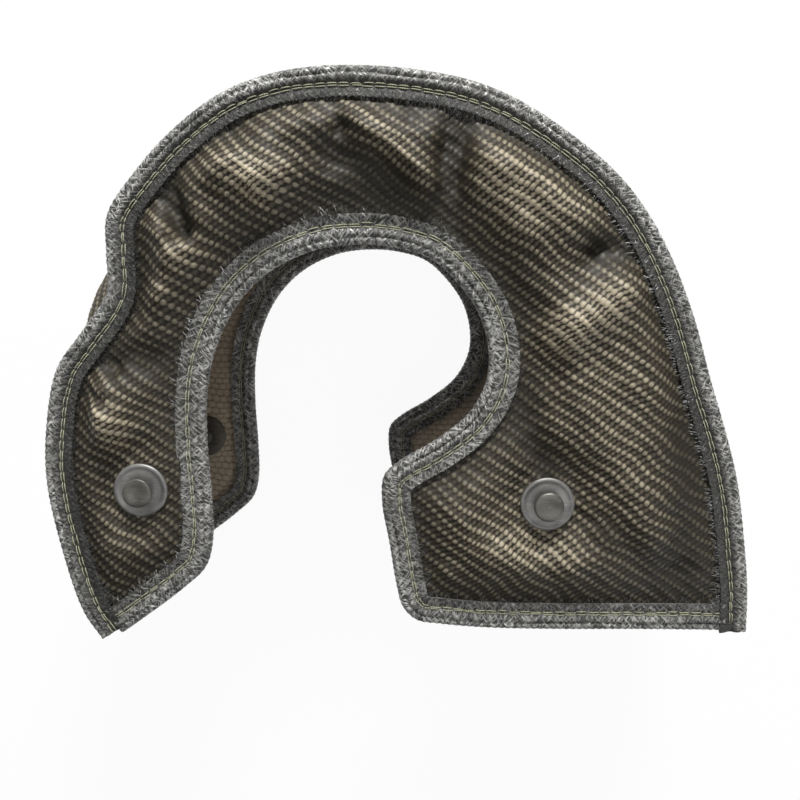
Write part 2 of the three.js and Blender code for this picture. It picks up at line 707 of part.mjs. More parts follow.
for (const places of [[-0.03, 0, taped], [1 - taped, 1, 1.03]]) {
  rimCover = rimCover.subtract(rimSlab(places, () => -2.2, () => 0, { tip: 3 }));
}
for (const block of rimTrim()) rimCover = rimCover.subtract(block);
addPiece('rim_cover', geometryOf(largest(rimCover)), 'cover');

const matUnder = (round) => rimInner(round, true) + 2 * layerGap + rimMatThickness * pinch(round);
const linerOver = (round) => rimInner(round, true) + layerGap + rimMatThickness * pinch(round)
  + 2 * layerGap * Math.min(6 * pinch(round), 1);
addPiece('rim_insulation', geometryOf(rimSlab(
  plain.slice(2, -2),
  (round) => rimInner(round, true) + 2 * layerGap,
  matUnder,
  { wallOnly: true },
)), 'mat');
addPiece('rim_liner', geometryOf(rimSlab(
  [edgeInset / rimLength, ...plain.slice(1, -1), 1 - edgeInset / rimLength],
  linerOver,
  (round) => linerOver(round) + linerThickness,
  { wallOnly: true },
)), 'liner');

addPiece('rim_left_end_binding', endTapeGeometry(0), 'tape');
addPiece('rim_right_end_binding', endTapeGeometry(1), 'tape');

// The origin goes under the middle of the whole blanket.
const box = new THREE.Box3().setFromObject(blanket);
const middle = box.getCenter(new THREE.Vector3());
blanket.position.set(-middle.x, -middle.y, -box.min.z);
const heatBlanket = new THREE.Group();
heatBlanket.add(blanket);

export default heatBlanket;
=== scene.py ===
import math

import bmesh
import bpy
import numpy as np
from mathutils import Matrix, Vector


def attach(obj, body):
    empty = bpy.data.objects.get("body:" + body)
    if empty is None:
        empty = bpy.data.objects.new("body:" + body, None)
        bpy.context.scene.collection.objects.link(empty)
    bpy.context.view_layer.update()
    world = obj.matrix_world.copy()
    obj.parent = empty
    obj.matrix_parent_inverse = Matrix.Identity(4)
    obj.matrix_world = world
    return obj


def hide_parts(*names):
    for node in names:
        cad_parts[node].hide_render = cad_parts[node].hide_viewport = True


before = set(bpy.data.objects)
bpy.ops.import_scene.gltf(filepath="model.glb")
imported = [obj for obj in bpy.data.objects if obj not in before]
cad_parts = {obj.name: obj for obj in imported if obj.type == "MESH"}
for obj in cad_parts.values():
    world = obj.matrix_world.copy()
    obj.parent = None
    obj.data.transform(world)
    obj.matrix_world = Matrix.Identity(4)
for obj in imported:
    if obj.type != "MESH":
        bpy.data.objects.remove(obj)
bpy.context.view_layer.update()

# The studio. A white sheet under the blanket, one strong soft lamp beyond its top edge and three
# weak ones, and the camera held over the middle and tipped a little to the lower edge.
scene = bpy.context.scene
scene.view_settings.view_transform = "Standard"

camera_data = bpy.data.cameras.new("camera")
camera_data.sensor_width = 36
camera_data.lens = 37.88
camera = bpy.data.objects.new("camera", camera_data)
scene.collection.objects.link(camera)
scene.camera = camera
camera.location = (0.0030, 0.02905, 0.3253)
ahead = (Vector((0.0001, -0.00955, 0.0843)) - camera.location).normalized()
rightward = ahead.cross(Vector((0, 1, 0))).normalized()
upward = rightward.cross(ahead)
camera.rotation_euler = Matrix((rightward, upward, -ahead)).transposed().to_euler()


def soft_lamp(name, place, size, power):
    data = bpy.data.lights.new(name, "AREA")
    data.shape = "DISK"
    data.size = size
    data.energy = power
    lamp = bpy.data.objects.new(name, data)
    scene.collection.objects.link(lamp)
    lamp.location = place
    lamp.rotation_euler = (-Vector(place)).to_track_quat("-Z", "Y").to_euler()


soft_lamp("window_lamp", (0.08, 0.84, 0.46), 0.3, 14.5)
soft_lamp("side_lamp", (-0.75, 0.05, 0.55), 0.5, 1.0)
soft_lamp("top_lamp", (0.05, -0.1, 0.95), 0.5, 1.6)
soft_lamp("low_lamp", (0.5, -0.5, 0.3), 0.4, 1.5)

world = bpy.data.worlds.new("studio")
scene.world = world
world.use_nodes = True
world.node_tree.nodes["Background"].inputs["Color"].default_value = (0.93, 0.96, 1, 1)
world.node_tree.nodes["Background"].inputs["Strength"].default_value = 0.15


class Finish:
    """A material under construction."""

    def __init__(self, name):
        self.material = bpy.data.materials.new(name)
        self.material.use_nodes = True
        self.nodes = self.material.node_tree.nodes
        self.links = self.material.node_tree.links
        self.skin = self.nodes["Principled BSDF"]

    def put(self, node, socket, value):
        """Sets a socket of a node to a number or a colour, or links it."""
        target = node.inputs[socket]
        if isinstance(value, Amount):
            self.links.new(value.socket, target)
        elif hasattr(value, "is_output"):
            self.links.new(value, target)
        else:
            target.default_value = value

    def node(self, kind, sockets, **settings):
        made = self.nodes.new("ShaderNode" + kind)
        for name, value in settings.items():
            setattr(made, name, value)
        for socket, value in sockets.items():
            self.put(made, socket, value)
        return made

    def amount(self, socket):
        return Amount(self, socket)

    def noise(self, place, scale, detail=2.0, rough=0.5):
        made = self.node("TexNoise", {"Vector": place, "Scale": scale, "Detail": detail,
                                      "Roughness": rough})
        return self.amount(made.outputs["Fac"])

    def vector(self, x, y, z=0.0):
        return self.node("CombineXYZ", {"X": x, "Y": y, "Z": z}).outputs[0]

    def object_place(self):
        return self.node("TexCoord", {}).outputs["Object"]

    def stored(self, name, output):
        """An output of a value stored on the piece's points."""
        return self.node("Attribute", {}, attribute_name=name,
                         attribute_type="GEOMETRY").outputs[output]

    def pattern(self):
        """Along, across and raised: the piece's own pattern, stored as weave."""
        split = self.node("SeparateXYZ", {0: self.stored("weave", "Vector")})
        return [self.amount(split.outputs[k]) for k in range(3)]

    def blend(self, share, low, high):
        """A colour between two, or a product of two with a number as its share."""
        made = self.node("Mix", {0: share}, data_type="RGBA")
        for socket, colour in ((6, low), (7, high)):
            self.put(made, socket, (*colour, 1) if isinstance(colour, tuple) else colour)
        return made.outputs[2]

    def bump(self, height, distance, strength=1.0):
        made = self.node("Bump", {"Height": height, "Distance": distance,
                                  "Strength": strength})
        return made.outputs[0]

    def wear(self, **sockets):
        """Sets the skin's sockets by name, with spaces written as underscores."""
        for name, value in sockets.items():
            self.put(self.skin, name.replace("_", " "), value)
        return self.material


class Amount:
    """A number that changes over a surface. Sums on it add Math nodes."""

    def __init__(self, finish, socket):
        self.finish = finish
        self.socket = socket

    def do(self, operation, *others, swap=False, clamp=False):
        values = [self, *others]
        if swap:
            values.reverse()
        made = self.finish.node("Math", dict(enumerate(values)), operation=operation,
                                use_clamp=clamp)
        return Amount(self.finish, made.outputs[0])

    def __add__(self, other):
        return self.do("ADD", other)

    def __radd__(self, other):
        return self.do("ADD", other)

    def __sub__(self, other):
        return self.do("SUBTRACT", other)

    def __rsub__(self, other):
        return self.do("SUBTRACT", other, swap=True)

    def __mul__(self, other):
        return self.do("MULTIPLY", other)

    def __rmul__(self, other):
        return self.do("MULTIPLY", other)

    def __truediv__(self, other):
        return self.do("DIVIDE", other)

    def within(self, low, high):
        """0 below low, 1 above high."""
        return self.do("SUBTRACT", low).do("DIVIDE", high - low, clamp=True)


def paper_finish():
    """White paper that shows its shadows and otherwise stays as bright as the page."""
    paper = Finish("white_sheet")
    rays = paper.node("LightPath", {})
    seen = paper.amount(rays.outputs["Is Camera Ray"])
    seen = seen.do("MAXIMUM", paper.amount(rays.outputs["Is Glossy Ray"]))
    seen = seen.do("MAXIMUM", paper.amount(rays.outputs["Is Transmission Ray"]))
    paper.wear(Base_Color=(0.86, 0.86, 0.86, 1), Roughness=0.9)
    glow = paper.node("Emission", {"Color": (1, 1, 1, 1), "Strength": 1.0})
    mix = paper.node("MixShader", {0: seen * 0.94, 1: paper.skin.outputs[0],
                                   2: glow.outputs[0]})
    paper.links.new(mix.outputs[0], paper.nodes["Material Output"].inputs[0])
    return paper.material


bpy.ops.object.select_all(action="DESELECT")
bpy.ops.mesh.primitive_plane_add(size=6, location=(0, 0, -0.0004))
floor = bpy.context.object
floor.name = "white_sheet"
floor.data.materials.append(paper_finish())

# The front and back cloths. Each is a C-shaped panel of heavy basalt-fibre twill over a needled
# mat, sewn in between two bound edges. Its padding swells between the edges, is pulled down by
# the studs, and falls in folds where the cloth is bent round the housing.
MM = 0.001
SHIFT = np.array([0.0968, -9.5459])  # from the pattern's own origin to the middle of the part
OUTER_FOOT = [(-90.3, -73.2), (-95.5, -64.5), (-100.9, -44.5), (-104, -24), (-103.1, -8.2)]
OUTER_ROUND = [
    (-62.7, 75.5), (-49.2, 85), (-35.8, 90), (-22.7, 92), (-9.6, 92.2), (3.5, 91.2),
    (19.1, 88.3), (32.3, 83.2), (45.7, 75), (59.2, 64.4), (68.9, 53), (76.3, 40.3),
    (83.2, 24.1), (88.9, 6.3), (94.1, -8.9), (98.3, -23.3), (101.8, -43.7), (103.4, -57),
    (103.8, -69.5),
]
DENTED = [(-99, 9), (-91, 20), (-83.3, 31), (-82.8, 42), (-82, 52.5), (-73.9, 64)]
PLAIN = [(-99.6, 9), (-96, 21), (-91.6, 33), (-86.6, 44), (-80.8, 54), (-73.2, 64.4)]
OUTER_FRONT = OUTER_FOOT + DENTED + OUTER_ROUND
OUTER_BACK = OUTER_FOOT + PLAIN + OUTER_ROUND
INNER = [
    (-90.3, -73.2), (-86, -72.2), (-75.9, -65.4), (-64, -56.2), (-58.2, -50.5), (-55.9, -43),
    (-55.7, -29), (-56.4, -13), (-55.9, 2), (-53.3, 14), (-46.8, 27), (-37.2, 36.6),
    (-24, 42.8), (-11.3, 44.4), (-0.6, 43.4), (9, 40.2), (17.4, 32.4), (22.9, 24),
    (25.4, 14.6), (25, 6), (20.3, -3.4), (10.8, -11.4), (-0.4, -18.2), (-4.6, -22.4),
    (-5.2, -30), (-3, -43), (-0.9, -56), (0.9, -62.5), (5, -66.6), (12, -67.8),
    (25.4, -68.9), (47.2, -69.3), (68.8, -69.2), (90.5, -69.3), (103.8, -69.5),
]
# Folds: from one point to another, half width, height.
FRONT_FOLDS = [
    ((17, 84), (11, 44), 5, -8.5), ((30, 68), (60, 50), 9, 4), ((24, 60), (34, 52), 8, 2.4),
    ((20, 88), (42, 76), 4, -4), ((56, 43), (71, 45), 5, -7.5), ((72, 37), (40, 17), 6, 4.6),
    ((74, 31), (78, 22), 3.5, -5), ((-14, 82), (8, 60), 3.4, 4), ((-18, 68), (0, 62), 6.5, -4.5),
    ((-20, 88), (-16, 76), 3, -4), ((-36, 80), (-18, 82), 5, 3.4),
    ((-56, 70), (-34, 60), 5.5, 3.8), ((-40, 60), (-36, 52), 3, 2.4),
    ((-69, 70), (-60, 48), 3.4, -8.5), ((-72, 53), (-58, 40), 6, 4), ((-74, 50), (-66, 44), 3, -2),
    ((-81, 46), (-76, 28), 4, -9), ((-79, 25), (-67, 31), 3.8, 4),
    ((-90, 14), (-82, 10), 2.2, -5), ((-92, 4), (-84, 1), 2, -4), ((-88, 6), (-82, -8), 5, 4),
    ((-80, 12), (-62, 12), 6, -4), ((21, 22), (43, -22), 5, -4), ((60, 10), (66, -30), 14, 1.2),
    ((30, -42), (50, -44), 6, 2.4), ((80, -10), (84, -50), 7, -3.4), ((66, 58), (60, 52), 3, -3.5),
    ((60, -40), (90, -60), 9, -3), ((-24, 54), (-4, 56), 6, -3),
    ((-50, 82), (-46, 76), 2.2, -3.4), ((-60, 76), (-56, 68), 2.2, -3.4),
    ((2, 88), (3, 78), 2.5, -3),
]
BACK_FOLDS = [
    ((40, 74), (20, 42), 6, -3), ((-60, 68), (-44, 44), 6, -3), ((84, 0), (34, 8), 7, -2.2),
    ((-96, 0), (-62, 6), 6, -2), ((66, -20), (66, -56), 10, -1.6),
]
STUDS = [(-75.4, -26), (42.8, -29.8)]
BACK_SEAM = 8.3
FRONT_SEAM = 84.3
COVER_LEVEL = 1.7  # top of the cloth in a bound edge, over the seam plane
PANEL_PUFF = 6.6
FOLDED_PUFF = 0.6  # in the deepest fold
PUFF_START = 7.5
PUFF_RUN = 11
PUFF_RUN_INSIDE = 17
CREST_RANGE = 9  # from the deepest hollow to the highest crest, for the painted highlight on crests and painted shade in hollows
STUD_SEAT = 3.6
STUD_PULL = 15  # how far round its washer a stud draws the cloth down
WASHER = 15.7
CLOTH_INSET = 2.2  # the cloths stop this far inside the tape's fold
PAD_FLOOR = 0.6
PAD_REST = 7.7  # the back's padding lies flat on the table, this far below its seam
WALE = 3.3  # between two diagonal rows of the twill
FLOAT = 1.66  # between two floats of a row
WALE_TURN = math.radians(36)
FLOAT_RISE = 0.5
FLOAT_LEVEL = 0.55  # the share of its rise at which a float passes the cloth's level
ROUGH = 1.0


def smooth(value):
    t = np.clip(value, 0, 1)
    return t * t * (3 - 2 * t)


def run_along(line):
    """Length of the line up to each of its points."""
    gaps = np.linalg.norm(np.diff(line, axis=0), axis=1)
    return np.concatenate([[0], np.cumsum(gaps)])


def through(points, step):
    """A line through the points, as a tailor's curve is drawn, in equal steps."""
    p = np.array(points, float) + SHIFT
    p = np.vstack([2 * p[0] - p[1], p, 2 * p[-1] - p[-2]])
    share = np.linspace(0, 1, 24, endpoint=False)[:, None]
    line = []
    for a, b, c, d in zip(p, p[1:], p[2:], p[3:]):
        ab, bc, cd = (math.sqrt(np.linalg.norm(q - r)) for q, r in ((a, b), (b, c), (c, d)))
        start = ((b - a) / ab - (c - a) / (ab + bc) + (c - b) / bc) * bc
        end = ((c - b) / bc - (d - b) / (bc + cd) + (d - c) / cd) * bc
        line.append(b + share * start + share ** 2 * (3 * (c - b) - 2 * start - end)
                    + share ** 3 * (2 * (b - c) + start + end))
    line = np.vstack([*line, p[-2:-1]])
    run = run_along(line)
    places = np.linspace(0, run[-1], round(run[-1] / step) + 1)
    return np.stack([np.interp(places, run, line[:, k]) for k in (0, 1)], axis=1)


def distance_to(line, xy):
    """Distance from each point to a line of points."""
    best = np.full(len(xy), np.inf)
    for a, b in zip(line, line[1:]):
        way = b - a
        share = np.clip((xy - a) @ way / (way @ way), 0, 1)
        best = np.minimum(best, np.linalg.norm(xy - a - share[:, None] * way, axis=1))
    return best


def is_inside(ring, xy):
    within = np.zeros(len(xy), bool)
    for (ax, ay), (bx, by) in zip(ring, np.roll(ring, -1, axis=0)):
        if ay != by:
            crosses = (ay > xy[:, 1]) != (by > xy[:, 1])
            within ^= crosses & (xy[:, 0] < ax + (bx - ax) * (xy[:, 1] - ay) / (by - ay))
    return within


CHART_X = np.arange(-112, 113.0)
CHART_Y = np.arange(-92, 93.0)
CHART = np.stack(np.meshgrid(CHART_X, CHART_Y, indexing="ij"), axis=-1).reshape(-1, 2)


def chart(values):
    """Makes values on the one-millimetre chart readable anywhere on it."""
    table = values.reshape(len(CHART_X), len(CHART_Y))

    def read(xy):
        x = np.clip(xy[..., 0] - CHART_X[0], 0, len(CHART_X) - 1.001)
        y = np.clip(xy[..., 1] - CHART_Y[0], 0, len(CHART_Y) - 1.001)
        i, j = x.astype(int), y.astype(int)
        s, t = x - i, y - j
        return ((1 - s) * (1 - t) * table[i, j] + s * (1 - t) * table[i + 1, j]
                + (1 - s) * t * table[i, j + 1] + s * t * table[i + 1, j + 1])
    return read


rng = np.random.default_rng(7)


def wander(size, amount):
    """Slow random drift over the chart, with swells of about the given size."""
    total = np.zeros(len(CHART))
    for _ in range(14):
        turn = rng.uniform(0, 2 * math.pi)
        wave = size * rng.uniform(0.7, 1.6)
        way = np.array([math.cos(turn), math.sin(turn)]) * 2 * math.pi / wave
        total += np.sin(CHART @ way + rng.uniform(0, 2 * math.pi))
    return chart(total * amount / 3)


class Panel:
    """Pattern of one panel: its edges, and the height of its cloth over the seam plane."""

    def __init__(self, outer, folds):
        self.outer = through(outer, 1.0)
        self.inner = through(INNER, 1.0)
        ring = np.vstack([self.outer, self.inner[-2:0:-1]])
        outer_away = distance_to(self.outer[::2], CHART)
        inner_away = distance_to(self.inner[::2], CHART)
        side = np.where(is_inside(ring, CHART), 1, -1)
        self.from_edge = chart(np.minimum(outer_away, inner_away) * side)
        swell = smooth((outer_away - PUFF_START) / PUFF_RUN)
        swell *= smooth((inner_away - PUFF_START) / PUFF_RUN_INSIDE)
        fold = np.zeros(len(CHART))
        for start, end, width, height in folds:
            stroke = np.array([start, end], float) + SHIFT
            fold += height * np.exp(-(distance_to(stroke, CHART) / width) ** 2)
        # Fold heights as a share, which the twill turns into a painted highlight on crests and
        # painted shade in hollows.
        self.crest = chart(np.clip(0.5 + fold / CREST_RANGE, 0, 1))
        height = COVER_LEVEL + swell * np.maximum(PANEL_PUFF + fold, FOLDED_PUFF)
        studs = np.array(STUDS) + SHIFT
        from_stud = np.min([np.linalg.norm(CHART - s, axis=1) for s in studs], axis=0)
        seat = STUD_SEAT - 0.1
        pulled = smooth((from_stud - WASHER / 2 - 1) / STUD_PULL)
        self.height = chart(np.where(swell > 0, seat + (height - seat) * pulled, height))
        self.from_stud = chart(from_stud)


def weave(along, across):
    """How far the twill stands up at a place, from 0 in a pit to 1 on a float of a row.

    Between two rows the crossing yarns show as lower and longer floats, half a step along.
    """
    def floats(across, shift, half_long, half_wide):
        row = np.floor(across / WALE)
        c = (across / WALE - row - 0.5) * WALE
        step = along / FLOAT + 0.31 * row + shift
        b = (step - np.floor(step) - 0.5) * FLOAT
        top = 1 - (np.abs(b) / half_long) ** 2.4 - (np.abs(c) / half_wide) ** 2.4
        return np.clip(top, 0, 1) ** 0.6
    bright = floats(across, 0, 0.76, 0.94)
    low = floats(across + WALE / 2, 0.4, 0.52, 0.86)
    return np.maximum(bright, 0.44 * low)


def mesh_piece(name, points, faces, weave_values, finish):
    """A piece from points in millimetres and faces, with its pattern stored as weave."""
    mesh = bpy.data.meshes.new(name)
    mesh.from_pydata((points * MM).tolist(), [], faces.tolist())
    values = mesh.attributes.new("weave", "FLOAT_VECTOR", "POINT")
    values.data.foreach_set("vector", np.asarray(weave_values, np.float32).ravel())
    mesh.materials.append(finish)
    piece = bpy.data.objects.new(name, mesh)
    scene.collection.objects.link(piece)
    return piece


GRID_REACH = 140


def cloth_grid(panel, along_step, across_step):
    """A grid that follows the rows of the twill, cut to the panel's edge."""
    u = np.arange(-GRID_REACH, GRID_REACH, along_step)
    v = np.arange(-GRID_REACH, GRID_REACH, across_step)
    uv = np.stack(np.meshgrid(u, v, indexing="ij"), axis=-1)
    c, s = math.cos(WALE_TURN), math.sin(WALE_TURN)
    xy = np.stack([uv[..., 0] * c + uv[..., 1] * s, uv[..., 1] * c - uv[..., 0] * s], axis=-1)
    on_chart = (np.abs(xy[..., 0]) < CHART_X[-1] - 1) & (np.abs(xy[..., 1]) < CHART_Y[-1] - 1)
    inside = on_chart & (panel.from_edge(xy) > CLOTH_INSET)
    cell = inside[:-1, :-1] & inside[1:, :-1] & inside[:-1, 1:] & inside[1:, 1:]
    for _ in range(6):
        a, b, c2, d = cell[:-1, :-1], cell[1:, :-1], cell[:-1, 1:], cell[1:, 1:]
        lone = (a & d & ~b & ~c2) | (b & c2 & ~a & ~d)
        cell[:-1, :-1] &= ~lone
        cell[1:, :-1] &= ~lone
    i, j = np.nonzero(cell)
    width = len(v)
    corner = i * width + j
    faces = np.stack([corner, corner + width, corner + width + 1, corner + 1], axis=1)
    used, faces = np.unique(faces, return_inverse=True)
    return uv.reshape(-1, 2)[used], xy.reshape(-1, 2)[used], faces.reshape(-1, 4)


def store_crest_shading(piece, shares):
    """Stores how far each point stands on a crest, from 0 to 1, which the twill paints as highlight
    and shade.
    """
    crest_shading = piece.data.attributes.new("crest", "FLOAT", "POINT")
    crest_shading.data.foreach_set("value", np.float32(shares))


def shade(piece, degrees):
    """Smooth shading, with edges sharper than the angle kept."""
    bpy.ops.object.select_all(action="DESELECT")
    piece.select_set(True)
    bpy.context.view_layer.objects.active = piece
    bpy.ops.object.shade_smooth_by_angle(angle=math.radians(degrees))


def close_below(piece, level):
    """Takes the open border of a cloth straight to a level and closes it there."""
    skin = bmesh.new()
    skin.from_mesh(piece.data)
    rim = [e for e in skin.edges if e.is_boundary]
    made = bmesh.ops.extrude_edge_only(skin, edges=rim)["geom"]
    for vert in made:
        if isinstance(vert, bmesh.types.BMVert):
            vert.co.z = level * MM
    low = [e for e in made if isinstance(e, bmesh.types.BMEdge) and e.is_boundary]
    bmesh.ops.edgeloop_fill(skin, edges=low)
    bmesh.ops.recalc_face_normals(skin, faces=skin.faces)
    skin.to_mesh(piece.data)
    skin.free()


def cloth_finish():
    """Basalt-fibre twill: shiny brown-green floats over a dark ground, with painted shade in its
    pits and fold hollows and a painted highlight on its fold crests.
    """
    cloth = Finish("basalt_twill")
    along, across, raised = cloth.pattern()
    # Painted light: the crests of the folds get a painted highlight and the hollows a painted
    # shade.
    crest = cloth.amount(cloth.stored("crest", "Fac"))
    # Filaments run across the rows, leaning up to the right.
    lean = along + 0.35 * across
    strand = cloth.noise(cloth.vector(lean * 5.2, across * 0.9), 1.0, 3.0, 0.62)
    ground = cloth.noise(cloth.vector(along * 0.9, across * 4.4), 1.0, 2.0, 0.6)
    cloud = cloth.noise(cloth.object_place(), 38.0, 3.0)
    tint = cloth.noise(cloth.vector(along / FLOAT, across / WALE, 3.0), 1.3, 1.0)
    # The pits between the floats are painted in shade.
    pit_shade = cloth.blend(ground.within(0.36, 0.78), (0.006, 0.0042, 0.0022), (0.024, 0.017, 0.009))
    low = cloth.blend(ground.within(0.3, 0.7), (0.038, 0.031, 0.019), (0.135, 0.113, 0.075))
    top = cloth.blend(strand.within(0.3, 0.72), (0.17, 0.146, 0.098), (0.55, 0.482, 0.355))
    top = cloth.blend(tint.within(0.56, 0.72) * 0.35, top, (0.30, 0.285, 0.135))
    top = cloth.blend(tint.within(0.5, 0.28) * 0.6, top, (0.12, 0.102, 0.068))
    colour = cloth.blend(raised.within(0.04, 0.4), pit_shade, low)
    colour = cloth.blend(raised.within(0.46, 0.86), colour, top)
    colour = cloth.blend(cloud.within(0.38, 0.75) * 0.3, colour, (0.040, 0.032, 0.020))
    bright = crest.within(0.56, 0.92) * raised.within(0.08, 0.4) * 0.5
    colour = cloth.blend(bright, colour, (0.46, 0.395, 0.28))
    # Painted shade in the hollows of the folds.
    colour = cloth.blend(crest.within(0.66, 0.1) * 0.86, colour, (0.017, 0.0145, 0.0095))
    rough = 0.62 - 0.2 * raised + 0.14 * (strand - 0.5)
    height = strand * 0.5 + ground * 0.5 * (1 - raised)
    return cloth.wear(
        Base_Color=colour, Roughness=rough, Normal=cloth.bump(height, 0.00022, 0.8),
        Specular_IOR_Level=0.32,
    )


TWILL = cloth_finish()
slow_u, slow_v = wander(60, 0.7), wander(60, 0.7)
quick_u, quick_v = wander(14, 0.34), wander(14, 0.34)
crumple = wander(17, 0.42)
lumps = wander(6, 0.16)


def sew_panel(name, panel, side, seam, along_step, across_step):
    """The cover cloth and mat of one panel, as one padded piece."""
    uv, xy, faces = cloth_grid(panel, along_step * ROUGH, across_step * ROUGH)
    along = uv[:, 0] + slow_u(xy) + quick_u(xy)
    across = uv[:, 1] + slow_v(xy) + quick_v(xy)
    raised = weave(along, across)
    edge = panel.from_edge(xy)
    loose = smooth((edge - 7) / 4) * (0.3 + 0.7 * smooth((panel.from_stud(xy) - 6.5) / 3))
    height = panel.height(xy) + loose * (FLOAT_RISE * (raised - FLOAT_LEVEL))
    height += (crumple(xy) + lumps(xy)) * smooth((edge - 8) / 10)
    if side < 0:
        height = np.minimum(height, PAD_REST + 0.35 * raised)
        faces = faces[:, ::-1]
    points = np.column_stack([xy, seam + side * height])
    values = np.column_stack([along, across, raised])
    piece = mesh_piece(name, points, faces, values, TWILL)
    # Along the seams the crest share is lowered, as painted shadow of the standing tape over the
    # cloth.
    store_crest_shading(piece, panel.crest(xy) * (0.35 + 0.65 * smooth((edge - 7) / 16)))
    close_below(piece, seam + side * PAD_FLOOR)
    shade(piece, 70)
    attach(piece, "root")
    return piece


front = Panel(OUTER_FRONT, FRONT_FOLDS)
back = Panel(OUTER_BACK, BACK_FOLDS)
front_pad = sew_panel("front_padded_cloth", front, 1, FRONT_SEAM, 0.415, 0.472)
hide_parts("front_cover", "front_insulation")
back_pad = sew_panel("back_padded_cloth", back, -1, BACK_SEAM, 0.55, 0.62)
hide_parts("back_cover", "back_insulation")

# The rim band. The same cloth and mat run round the outside between the two panels. Its edges turn
# outwards into the bound seams, and its two ends are bound on their own.
TAPE = 8.5  # width of the folded tape on each side of an edge
RIM_ROOT = -TAPE - 2  # where the rim's outside starts, over the panel's edge
RIM_PUFF = 10.2
RIM_TOP = FRONT_SEAM - COVER_LEVEL
RIM_LOW = BACK_SEAM + COVER_LEVEL
RIM_THICK = 5.6
RIM_SKIN = 0.9
RIM_GIRTH = 80
# The rim's even crest share, which gives the rim's twill an even painted shade.
RIM_CREST_SHADING = 0.45
FLANGE_TIP = 3.0  # how far the flange stops inside the tape's fold
RIM_FOLDS = [  # round the rim, through its depth, half sizes, height
    (0.235, 0.26, 22, 20, 5), (0.34, 0.6, 20, 40, -2.2), (0.46, 0.5, 18, 40, -2.4),
    (0.62, 0.5, 18, 40, -2.6), (0.76, 0.5, 20, 40, -2.2), (0.12, 0.5, 18, 40, -1.8),
]
RIM_LENGTH = float(len(back.outer) - 1)


def edge_frame(line, share):
    """Point and outward direction on an edge, at a share of its length."""
    t = np.linspace(0, 1, len(line))
    way = np.gradient(line, axis=0)
    way /= np.linalg.norm(way, axis=1)[:, None]
    point = np.stack([np.interp(share, t, line[:, k]) for k in (0, 1)], axis=-1)
    along = np.stack([np.interp(share, t, way[:, k]) for k in (0, 1)], axis=-1)
    return point, np.stack([-along[..., 1], along[..., 0]], axis=-1)


def rim_place(share, over, height):
    """A point on the rim: share of the way round, distance over the panel edge, height."""
    front_point, front_out = edge_frame(front.outer, share)
    back_point, back_out = edge_frame(back.outer, share)
    lower = smooth((FRONT_SEAM - height) / (FRONT_SEAM - BACK_SEAM) / 0.4)[..., None]
    out = front_out + (back_out - front_out) * lower
    out /= np.linalg.norm(out, axis=-1)[..., None]
    flat = front_point + (back_point - front_point) * lower + out * over[..., None]
    return np.concatenate([flat, height[..., None]], axis=-1)


def rim_fullness(share):
    """0 under the tape on the ends of the rim, 1 where its padding is full."""
    return smooth((np.minimum(share, 1 - share) * RIM_LENGTH - TAPE - 1) / 20)


def rim_over(share, depth):
    """How far the rim's outside stands over the panel edge, through its depth from 0 to 1."""
    full = rim_fullness(share)
    swell = 1 - np.abs(2 * depth - 1) ** 2.6
    over = RIM_ROOT + RIM_PUFF * (0.35 + 0.65 * full) * swell
    for at, down, wide, deep, height in RIM_FOLDS:
        spread = ((share - at) * RIM_LENGTH / wide) ** 2
        spread = spread + ((depth - down) * (FRONT_SEAM - BACK_SEAM) / deep) ** 2
        over = over + height * np.exp(-spread) * swell * full
    return over


def rim_thickness(share, depth):
    """Thickness of the rim's cloth and mat, thin at its ends and by the two seams."""
    thick = RIM_SKIN + (RIM_THICK - RIM_SKIN) * rim_fullness(share)
    return thick * smooth(np.minimum(depth, 1 - depth) * 6 + 0.25)


def close_skin(piece, sides=None):
    """Fills holes of up to so many sides, or of any number for 0, and turns faces outwards."""
    skin = bmesh.new()
    skin.from_mesh(piece.data)
    if sides is not None:
        ends = [e for e in skin.edges if e.is_boundary]
        bmesh.ops.holes_fill(skin, edges=ends, sides=sides)
    bmesh.ops.recalc_face_normals(skin, faces=skin.faces)
    skin.to_mesh(piece.data)
    skin.free()


def loft(name, rows, values, finish):
    """A skin over rows of points. Each row is a closed loop, and the end rows are capped."""
    count, across = rows.shape[:2]
    i, j = np.meshgrid(np.arange(count - 1), np.arange(across), indexing="ij")
    a = (i * across + j).ravel()
    b = (i * across + (j + 1) % across).ravel()
    faces = np.stack([a, b, b + across, a + across], axis=1)
    piece = mesh_piece(name, rows.reshape(-1, 3), faces, values.reshape(-1, 3), finish)
    close_skin(piece, 0)
    shade(piece, 75)
    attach(piece, "root")
    return piece


